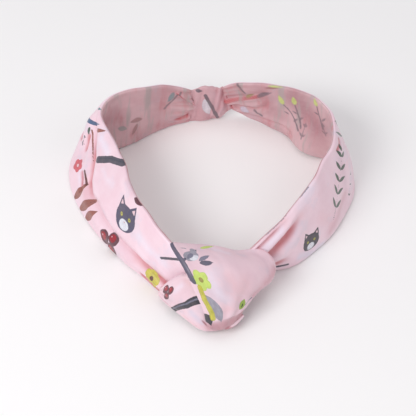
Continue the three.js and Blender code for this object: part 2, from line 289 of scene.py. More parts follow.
def flower(pr, m, a="yellow", b="brown"):
    for k in range(6):
        t = k * math.pi / 3 + 0.3
        pr.leaf(a, m((0.6 * math.cos(t), 0.6 * math.sin(t)))[0], m((5.6 * math.cos(t), 5.6 * math.sin(t)))[0], 3.6)
    pr.dot(b, m((0, 0))[0], 1.7)
    for k in range(5):
        t = k * 1.257
        pr.dot(b, m((2.7 * math.cos(t), 2.7 * math.sin(t)))[0], 0.5)


def sprig(pr, pts, size, wide, ink="green", stem=0.5, skew=1.0):
    """A stem with a pair of willow leaves at every joint, pointing back along it."""
    p = np.asarray(pts, float)
    pr.stroke(ink, p, [stem * 0.7, stem])
    for k in range(len(p) - 1):
        d = (p[k + 1] - p[k]) / np.linalg.norm(p[k + 1] - p[k])
        m = np.array([-d[1], d[0]])
        z = size * (0.75 + 0.25 * min(1, k / 2))
        for s in (1, -1):
            pr.leaf(ink, p[k], p[k] + (d * 0.72 + s * m * 0.72 * skew) * z, wide, bend=0.5 * s)


# ---- the arms: a face panel outside and a lining panel inside, meeting at two rounded edges ----
ARM_ROWS, ARM_COLS = (281, 69)


def arm(A, B, side, name):
    s = Strip(A, B, ARM_ROWS, side)
    # the two edges wander a little, as soft cloth does
    calm = (smooth(s.u, 16, 46) * (1 - smooth(s.u, s.u[-1] - 26, s.u[-1] - 8)))[:, None]
    across = (s.B - s.A) / s.w[:, None]
    for rail, seed in ((s.A, 51), (s.B, 57)):
        o = seed + (side > 0)
        rail += calm * (s.n * wobble(s.u, 0 * s.u, o, 30, 1.5)[:, None] + across * wobble(s.u, 0 * s.u, o + 20, 24, 1.1)[:, None])
    s.B[:, 2] = np.maximum(s.B[:, 2], 0.3)
    s.w = np.linalg.norm(s.B - s.A, axis=1)
    v = columns(ARM_COLS, 0.62)
    U = np.repeat(s.u[:, None], ARM_COLS, 1)
    V = v[None] * s.w[:, None]
    W = np.repeat(s.w[:, None], ARM_COLS, 1)
    L = s.u[-1]
    near, far = smooth(U, 4, 34), 1 - smooth(U, L - 42, L - 2)  # away from the knot, away from the gather
    body = near * far
    edge = edge_round(v, s.w, 1.35, 1.7)
    mid = np.sin(np.pi * v)[None]
    flat = mid ** 0.8
    shut = 1 - 0.75 * smooth(U, L - 3.5, L)  # the end is sewn down on the elastic
    face = (edge + (2.2 * (0.35 + 0.65 * body)) * flat) * shut
    lining = (edge * 0.9 + (0.9 * (0.35 + 0.65 * body)) * flat) * (0.5 + 0.5 * shut)
    # the inner ply hangs a little fuller low down, where the band turns
    sag, spot, run = (2.6, 150, 11) if name == "left" else (6.4, 155, 13)
    lining = lining + sag * bell(U, spot, run) * smooth(V / W, 0.45, 0.86) * (1 - 0.35 * smooth(V / W, 0.93, 1.0))
    # painted shade in the folds of the face and of the lining: how far each point's colour goes to the deep fold pink
    fold_shade_f, fold_shade_l = np.zeros_like(U), np.zeros_like(U)
    hold = smooth(np.minimum(V, W - V), 0.2, 4.5)  # folds fade towards the two edges

    def add(which, hf, keep=None):
        nonlocal face, lining, fold_shade_f, fold_shade_l
        h, f = hf
        k = hold if keep is None else keep
        if which == "face":
            face = face + h * k
            fold_shade_f = np.maximum(fold_shade_f, f)
        else:
            lining = lining + h * k
            fold_shade_l = np.maximum(fold_shade_l, f)

    face = face + (wobble(U, V, 3 + (side > 0), 40, 1.5) + wobble(U, V, 63 + (side > 0), 17, 0.45)) * hold * body
    lining = lining + (wobble(U, V, 11 + (side > 0), 30, 0.9) + wobble(U, V, 71 + (side > 0), 14, 0.35)) * hold * body
    # gathers that run out of the knot and out of the back sleeve
    g = np.random.default_rng(7 + (side > 0))
    for k in range(7):
        c = (k + 0.5 + g.uniform(-0.25, 0.25)) / 7
        run = g.uniform(14, 34)
        w = g.uniform(1.2, 1.9)
        for which, amp in (("face", 0.85), ("lining", 0.7)):
            amp *= g.uniform(0.5, 1.1)
            d = (v[None] - c) * W + (L - U) * g.uniform(-0.10, 0.10)
            fade = smooth(U, L - run, L - 1)
            add(which, (-amp * np.exp(-(d / w) ** 2) * fade + 0.4 * amp * np.exp(-((np.abs(d) - 2.2 * w) / w) ** 2) * fade, 0.5 * np.exp(-(d / w) ** 2) * fade))
    for k in range(4):
        c = (k + 0.6 + g.uniform(-0.2, 0.2)) / 4
        run = g.uniform(14, 30)
        w = g.uniform(1.6, 2.4)
        d = (v[None] - c) * W
        fade = 1 - smooth(U, 12, 12 + run)
        add("lining", (-0.8 * np.exp(-(d / w) ** 2) * fade, 0.5 * np.exp(-(d / w) ** 2) * fade))
    if name == "left":
        # the long crease between the inner and the outer part of the arm
        crease = [(136, 4), (130, 8), (122.5, 12.6), (109, 20), (98.5, 31), (90, 34), (82, 34.4), (63, 33.6), (42, 32), (25, 29.4), (8, 28)]
        h, f = valley(U, V, crease, 2.2, 3.1, 0.05, 0.0, 0.34)
        d, q = track(U, V, crease)
        add("face", (h, f * (0.35 + 0.5 * smooth(U, 82, 98) * (1 - smooth(U, 112, 126)) + 0.65 * (1 - smooth(U, 24, 48)))))
        # painted shade only, beside the crease: the colour goes towards the fold pink with no change of shape
        add("face", (0 * U, 0.75 * np.exp(-((d - 2.0) / 5.5) ** 2) * smooth(q, 0.76, 0.95)))
        add("face", (0 * U, 0.42 * np.exp(-((d + 4.0) / 6.0) ** 2) * bell(U, 97, 15)))
        face = face - 3.2 * bell(U, 122, 9) * bell(V / W, 0.5, 0.22) - 1.4 * bell(U, 103, 9) * bell(V / W, 0.62, 0.2)
        add("face", valley(U, V, [(112, 33), (106, 36), (98, 41)], 1.0, 1.8))
        add("face", valley(U, V, [(34, 40), (22, 38.0), (8, 36)], 1.0, 1.9, 0.2, 0.0))
        add("face", valley(U, V, [(148, 14), (138, 20), (130, 30)], 1.3, 2.2))
        add("face", valley(U, V, [(128, 14), (124, 21), (122, 30)], 1.0, 1.8, 0.2, 0.3))
        # the inner side near the gather: a groove that runs down into the sleeve, and a fold that comes up to meet it
        groove = [(195.5, 4.0), (199, 5.4), (202, 7.8), (206.6, 13.6)]
        h, f = overlap(U, V, groove, 1.3, 2.6, 3.6, 0.12, 0.0)
        d, q = track(U, V, groove)
        add("lining", (h, np.exp(-((d - 0.4) / 1.1) ** 2) * ends(q, 0.1, 0.0)))
        add("lining", valley(U, V, [(194, 29.5), (200, 27.6), (204, 24.4), (206.6, 19.0)], 1.1, 1.7, 0.35, 0.0))
        for a, z, dd in [(166, 172, 0.35), (176, 180, 0.4), (152, 156, 0.3), (140, 143, 0.3), (186, 189, 0.3)]:
            h, f = valley(U, V, [(a, 4), ((a + z) / 2, 20), (z, 38)], dd, 3.4, 0.3, 0.3)
            add("lining", (h, 0.0 * f))
    else:
        # two pleats that come out of the knot, with a bright ridge between them
        pleat = [(12, 17.0), (22, 15.2), (28.5, 14.0), (33, 12.8), (40, 11.4), (47, 9.4), (56, 6.4)]
        h, f = valley(U, V, pleat, 2.3, 3.3, 0.0, 0.35, 0.4)
        add("face", (h, f * 1.1))
        d, q = track(U, V, pleat)
        add("face", (1.0 * np.exp(-((np.abs(d) - 6.2) / 2.6) ** 2) * (d < 0) * ends(q, 0.0, 0.4), 0 * U))
        h, f = valley(U, V, [(12, 3.0), (24, 2.4), (34, 1.6), (46, 1.0)], 0.7, 1.7, 0.0, 0.4, 0.3)
        add("face", (h, f * 0.7), smooth(V, 0.2, 1.8))
        add("face", valley(U, V, [(12, 24), (24, 23.6), (34, 26), (42, 30)], 0.9, 2.6, 0.0, 0.5, 0.3))
        add("face", valley(U, V, [(150, 12), (138, 20), (126, 33)], 1.2, 2.4))
        add("face", valley(U, V, [(118, 4), (112, 6), (104, 5)], 0.8, 1.6))
        # the inner side near the gather: a lap that runs along the band, a lens-shaped bulge under it, a rolled strip along the lower edge
        h, f = overlap(U, V, [(216, 12.2), (212, 12.8), (206.7, 13.0), (200, 12.2), (194, 10.8), (187, 8.8), (181, 5.6)], 1.8, 3.0, 4.2, 0.0, 0.3)
        d, q = track(U, V, [(216, 12.2), (212, 12.8), (206.7, 13.0), (200, 12.2), (194, 10.8), (187, 8.8), (181, 5.6)])
        add("lining", (h, 1.0 * np.exp(-((d - 0.4) / 0.85) ** 2) * ends(q, 0.0, 0.3)))
        lens = [(213.5, 15.4), (209, 18.6), (204.4, 20.6), (195.1, 22.0), (187, 18.4), (181.3, 10.4)]
        h, f = valley(U, V, lens, 1.0, 1.5, 0.12, 0.25, 0.6)
        add("lining", (h, 0.5 * f))
        h, f = valley(U, V, [(216, 10.5), (214, 15.5), (212.4, 21.0), (208.6, 25.0)], 1.7, 1.3, 0.0, 0.45, 0.5)
        add("lining", (h, f * 1.1))
        roll = [(212, 24.8), (206, 27.2), (197, 29.0), (188.2, 30.4), (177.4, 31.4), (168, 33.0), (158, 34.4)]
        h, f = valley(U, V, roll, 1.0, 1.2, 0.1, 0.3, 0.7)
        add("lining", (h, 0.3 * f), smooth(W - V, 0.2, 1.4))
        for a, z, dd in [(172, 168, 0.35), (158, 156, 0.4), (146, 145, 0.3), (136, 134, 0.3)]:
            h, f = valley(U, V, [(a, 4), ((a + z) / 2, 18), (z, 34)], dd, 3.2, 0.3, 0.3)
            add("lining", (h, 0.0 * f))
    P_face = s.at(v, face)
    P_lin = s.at(v, -lining)
    # the inner ply runs a little further into the sleeve at mid height
    way = s.A[-1] - s.A[-6] + s.B[-1] - s.B[-6]
    P_lin = P_lin + (4.6 if name == "left" else 2.0) * (smooth(U, L - 7, L) * bell(v[None], 0.50, 0.20))[..., None] * way / np.linalg.norm(way)
    return dict(strip=s, v=v, U=U, V=V, W=W, face=P_face, lining=P_lin, fold_shade_face=fold_shade_f, fold_shade_lining=fold_shade_l, n=s.n)


# ---- the knot: flattened, padded-looking strands of the same tube ----
WRAP_A = [[-6, -39, 20], [-10, -37.4, 29], [-14.5, -36.6, 37.0], [-17.8, -37.8, 41.6], [-16.6, -42.6, 42.4], [-10.9, -52.6, 40.0], [-7.0, -59.0, 35.0], [-3.1, -63.4, 27.6], [0.4, -66.6, 19.0], [1.6, -68.6, 12.6], [2.8, -69.4, 7.6], [5.4, -66.0, 4.8], [8.0, -59.5, 5.0]]
WRAP_B = [[20, -36, 8], [24, -31.5, 15], [29.0, -29.6, 22.4], [34.2, -30.6, 27.0], [39.2, -34.0, 25.0], [41.2, -38.2, 20.4], [39.0, -42.6, 15.4], [32.6, -46.6, 12.6], [27.6, -51.2, 10.8], [24.0, -56.2, 9.4], [21.2, -60.4, 8.2], [18.8, -59.5, 5.2], [17.5, -55.0, 5.0]]
TUCK_A = [[-19.5, -39.5, 5.5], [-21.9, -41.6, 8.5], [-22.6, -44.4, 11.2], [-20.4, -46.2, 17.6], [-16.8, -47.2, 23.0], [-11.2, -48.6, 28.6], [-4.5, -50.5, 30.0], [3.0, -52.5, 26.5], [10.0, -53.0, 21.0], [16.0, -51.5, 15.0]]
TUCK_B = [[-19.5, -40.5, 2.6], [-22.6, -41.8, 3.2], [-24.3, -44.6, 4.6], [-21.8, -48.2, 3.6], [-16.4, -53.2, 2.8], [-9.2, -60.4, 2.6], [-1.4, -67.6, 2.7], [4.6, -69.2, 3.0], [12.2, -67.6, 3.6], [20.4, -61.5, 4.6]]
CORE_A = [[-12, -33.5, 33], [-5, -36, 31], [6, -38.5, 26.5], [17, -37.5, 20.5], [25, -35, 15]]
CORE_B = [[-16, -34.5, 4], [-8, -38.5, 3], [4, -42, 2.5], [16, -41, 2.5], [25, -37, 3]]
PLEAT_A = [[11.0, -67.8, 7.2], [14.0, -67.0, 8.0], [17.4, -64.6, 8.6], [21.2, -60.8, 9.0]]
PLEAT_B = [[12.6, -69.0, 4.4], [15.8, -68.2, 4.6], [19.2, -65.6, 5.0], [22.4, -61.2, 5.8]]


def strand(A, B, side, rows, cols, half, radius, crowd=0.6):
    s = Strip(A, B, rows, side)
    v = columns(cols, crowd)
    U = np.repeat(s.u[:, None], cols, 1)
    V = v[None] * s.w[:, None]
    W = np.repeat(s.w[:, None], cols, 1)
    edge = edge_round(v, s.w, half, radius)
    t = np.repeat((s.u / s.u[-1])[:, None], cols, 1)
    return s, v, U, V, W, edge, t


def knot_wrap():
    s, v, U, V, W, edge, t = strand(WRAP_A, WRAP_B, -1, 150, 91, 2.0, 3.0)
    mid = np.sin(np.pi * v)[None]
    swell = smooth(t, 0.30, 0.52) * (1 - smooth(t, 0.80, 0.97))
    crest = bell(t, 0.26, 0.10)
    off = edge * (1 - 0.45 * crest) + (5.4 * swell + 0.6 * (1 - crest)) * mid ** 0.85
    off = off - crest * 1.6 * bell(v[None], 0.72, 0.16)  # the top dips where the right arm leaves
    hold = smooth(np.minimum(V, W - V), 0.3, 5)
    off = off + wobble(U, V, 21, 30, 0.9) * hold
    # fold: painted shade, deeper pink in the fan folds, over the foot where the end turns under and along the right
    # edge
    fold = np.zeros_like(U)
    L = s.u[-1]
    # soft fan folds gather towards the foot
    for c0, c1, w, a, b in [(0.42, 0.30, 2.6, 0.9, 0.45), (0.66, 0.55, 2.4, 1.0, 0.42), (0.88, 0.80, 2.0, 0.9, 0.5), (0.20, 0.12, 1.6, 0.6, 0.6)]:
        c = c0 + (c1 - c0) * smooth(t, 0.3, 1)
        d = (v[None] - c) * W
        e = smooth(t, b, 0.95)
        off = off - a * np.exp(-(d / w) ** 2) * e + 0.35 * a * np.exp(-((np.abs(d) - 2 * w) / w) ** 2) * e
        fold = np.maximum(fold, 0.5 * np.exp(-(d / w) ** 2) * smooth(t, b + 0.15, 0.98))
    fold = np.maximum(fold, smooth(t, 0.79, 0.87) * 0.64)
    fold = np.maximum(fold, 0.42 * smooth(V / W, 0.80, 1.0) * bell(t, 0.60, 0.16))
    back = edge * 0.9 + 0.4 * mid
    return dict(strip=s, v=v, U=U, V=V, W=W, t=t, front=s.at(v, off), back=s.at(v, -back), fold=fold)


def knot_tuck():
    s, v, U, V, W, edge, t = strand(TUCK_A, TUCK_B, 1, 130, 71, 1.9, 2.8)
    mid = np.sin(np.pi * v)[None]
    off = edge + 2.1 * mid * smooth(t, 0.1, 0.35) * (1 - 0.5 * smooth(t, 0.75, 1))
    hold = smooth(np.minimum(V, W - V), 0.3, 4)
    # fold: painted shade in the gathers and where the strand goes under the wrap
    fold = np.zeros_like(U)
    off = off + wobble(U, V, 31, 22, 0.7) * hold
    # gathers where it turns round the arm, and where it goes under the wrap
    for c, w, a in [(0.30, 1.7, 0.7), (0.62, 1.9, 0.8), (0.85, 1.4, 0.6)]:
        d = (v[None] - c) * W
        e = 1 - smooth(t, 0.24, 0.5)
        off = off - a * np.exp(-(d / w) ** 2) * e * hold
        fold = np.maximum(fold, 0.35 * np.exp(-(d / w) ** 2) * e)
    for c, w, a in [(0.93, 1.3, 0.9), (0.84, 1.3, 0.8), (0.74, 1.5, 0.7)]:
        d = (v[None] - c) * W
        e = smooth(t, 0.62, 0.78)
        off = off - a * np.exp(-(d / w) ** 2) * e
        fold = np.maximum(fold, 0.8 * np.exp(-(d / w) ** 2) * e)
    fold = np.maximum(fold, smooth(t, 0.60, 0.70) * 0.40)
    fold = np.maximum(fold, 0.95 * smooth(t, 0.80, 0.88) * (1 - smooth(V / W, 0.80, 0.95)))
    back = edge * 0.9 + 0.3 * mid
    return dict(strip=s, v=v, U=U, V=V, W=W, t=t, front=s.at(v, off), back=s.at(v, -back), fold=fold)


def knot_core():
    s, v, U, V, W, edge, t = strand(CORE_A, CORE_B, 1, 80, 51, 1.7, 2.6)
    mid = np.sin(np.pi * v)[None]
    hold = smooth(np.minimum(V, W - V), 0.3, 4)
    off = edge + 1.0 * mid
    back = edge + 1.6 * mid + wobble(U, V, 41, 18, 0.6) * hold
    # fold: painted shade in the back's folds and over the drawn-in end
    fold = np.zeros_like(U)
    for c, w, a in [(0.25, 1.8, 1.0), (0.5, 2.0, 1.2), (0.75, 1.7, 1.0)]:
        d = (v[None] - c) * W + 2.0 * np.sin(U / 9 + c * 9)
        back = back - a * np.exp(-(d / w) ** 2) * hold
        fold = np.maximum(fold, 0.6 * np.exp(-(d / w) ** 2))
    # the end that dives behind the left arm is drawn in and flattened, so that no cut edge shows
    draw_in = (1 - smooth(t, 0.0, 0.24)) ** 2
    thin = 1 - 0.72 * (1 - smooth(t, 0.0, 0.15))
    front, rear = s.at(v, off * thin), s.at(v, -back * thin)
    centre = s.at(np.array([0.5]), 0 * U[:, :1])
    for g in (front, rear):
        g += (centre - g) * (0.30 * draw_in)[..., None]
        g += np.array([-0.6, -1.5, 0.0]) * draw_in[..., None]
    fold = np.maximum(fold, 0.8 * draw_in)
    return dict(strip=s, v=v, U=U, V=V, W=W, t=t, front=front, back=rear, fold=fold)


def knot_pleat():
    s, v, U, V, W, edge, t = strand(PLEAT_A, PLEAT_B, 1, 60, 31, 1.0, 1.5)
    mid = np.sin(np.pi * v)[None]
    off = edge + 1.1 * mid
    # fold: painted shade, dark above and below the pleat's middle
    fold = np.clip(1.1 - 1.25 * bell(V / W, 0.5, 0.26) * smooth(t, 0.1, 0.4), 0, 1)
    return dict(strip=s, v=v, U=U, V=V, W=W, t=t, front=s.at(v, off), back=s.at(v, -edge * 0.9), fold=fold)


# ---- the gathered sleeve at the back ----
CASE_X0, CASE_X1 = -9.8, 12.6
CASE_FOOT = 6.2  # how much further the lower corner of the right end lies


def casing():
    """The ruched sleeve as rings of points round the elastic. Returns the outer and inner grids, (u, v) in mm, the side
    of each point and the painted fold shade.
    """
    n, m = 81, 140
    q = np.linspace(0, 1, n)[:, None]
    k = np.linspace(0, 2 * np.pi, m + 1)[None, :-1]
    foot = 0.5 - 0.5 * np.cos(k)
    x = CASE_X0 + (CASE_X1 + CASE_FOOT * foot - CASE_X0) * q
    y = (98.8 + 2.0 * foot) * (1 - q) + (102.8 + 3.2 * foot) * q
    top = 29.9 - 1.4 * q + 2.4 * bell(q, 0.50, 0.20) + 0.8 * bell(q, 0.98, 0.05)
    low = 0.9 - 0.5 * bell(q, 0.30, 0.3) + 6.0 * smooth(q, 0.66, 1.0)
    deep = 0.9 + 2.5 * smooth(q, 0.03, 0.40) * (1 - smooth(q, 0.74, 0.98))
    side = np.sin(k)
    zr = np.cos(k)
    # fold: painted shade in the ruffles and at both ends of the sleeve
    ruff, fold = 0 * (q + k), 0 * (q + k)
    # folds fan out of the right-hand pinch and lean out of the left-hand groove
    for c, slant, w, a in [(0.10, 0.08, 0.045, 0.7), (0.27, 0.16, 0.06, 0.5), (0.46, -0.10, 0.07, 0.55), (0.64, 0.20, 0.06, 0.6), (0.80, 0.24, 0.055, 0.8), (0.93, 0.05, 0.035, 0.7)]:
        d = q - c - slant * zr * np.where(side < 0, 1, -1) - 0.015 * np.sin(3 * k + 9 * c)
        ruff = ruff - a * np.exp(-(d / w) ** 2) + 0.5 * a * np.exp(-((np.abs(d) - 2 * w) / w) ** 2)
        fold = np.maximum(fold, 0.45 * np.exp(-(d / w) ** 2) * (0.6 + 0.6 * smooth(q, 0.6, 1)))
    body = smooth(q, 0, 0.10) * (1 - smooth(q, 0.90, 1))
    sup = np.sign(side) * np.abs(side) ** 0.75
    half = (top - low) / 2
    mid = (top + low) / 2
    r = deep + ruff * (0.3 + 0.7 * body)
    P = np.stack([x, y + r * sup, mid + (half + 0.3 * ruff) * zr], -1)
    Q = np.stack([x, y + (r - 0.6) * sup, mid + (half + 0.3 * ruff - 0.6) * zr], -1)
    U = q * (CASE_X1 - CASE_X0 + CASE_FOOT * foot)
    V = foot * 29 + 0 * q
    fold = np.maximum(fold, 0.75 * smooth(q, 0.93, 1.0) + 0.55 * (1 - smooth(q, 0.0, 0.06)))
    return P, Q, U, V, side + 0 * q, fold


LEFT = arm(LU, LL, -1, "left")
RIGHT = arm(RU, RL, 1, "right")
WRAP, TUCK, CORE, PLEAT = knot_wrap(), knot_tuck(), knot_core(), knot_pleat()
CASE = casing()
# --- geometry end

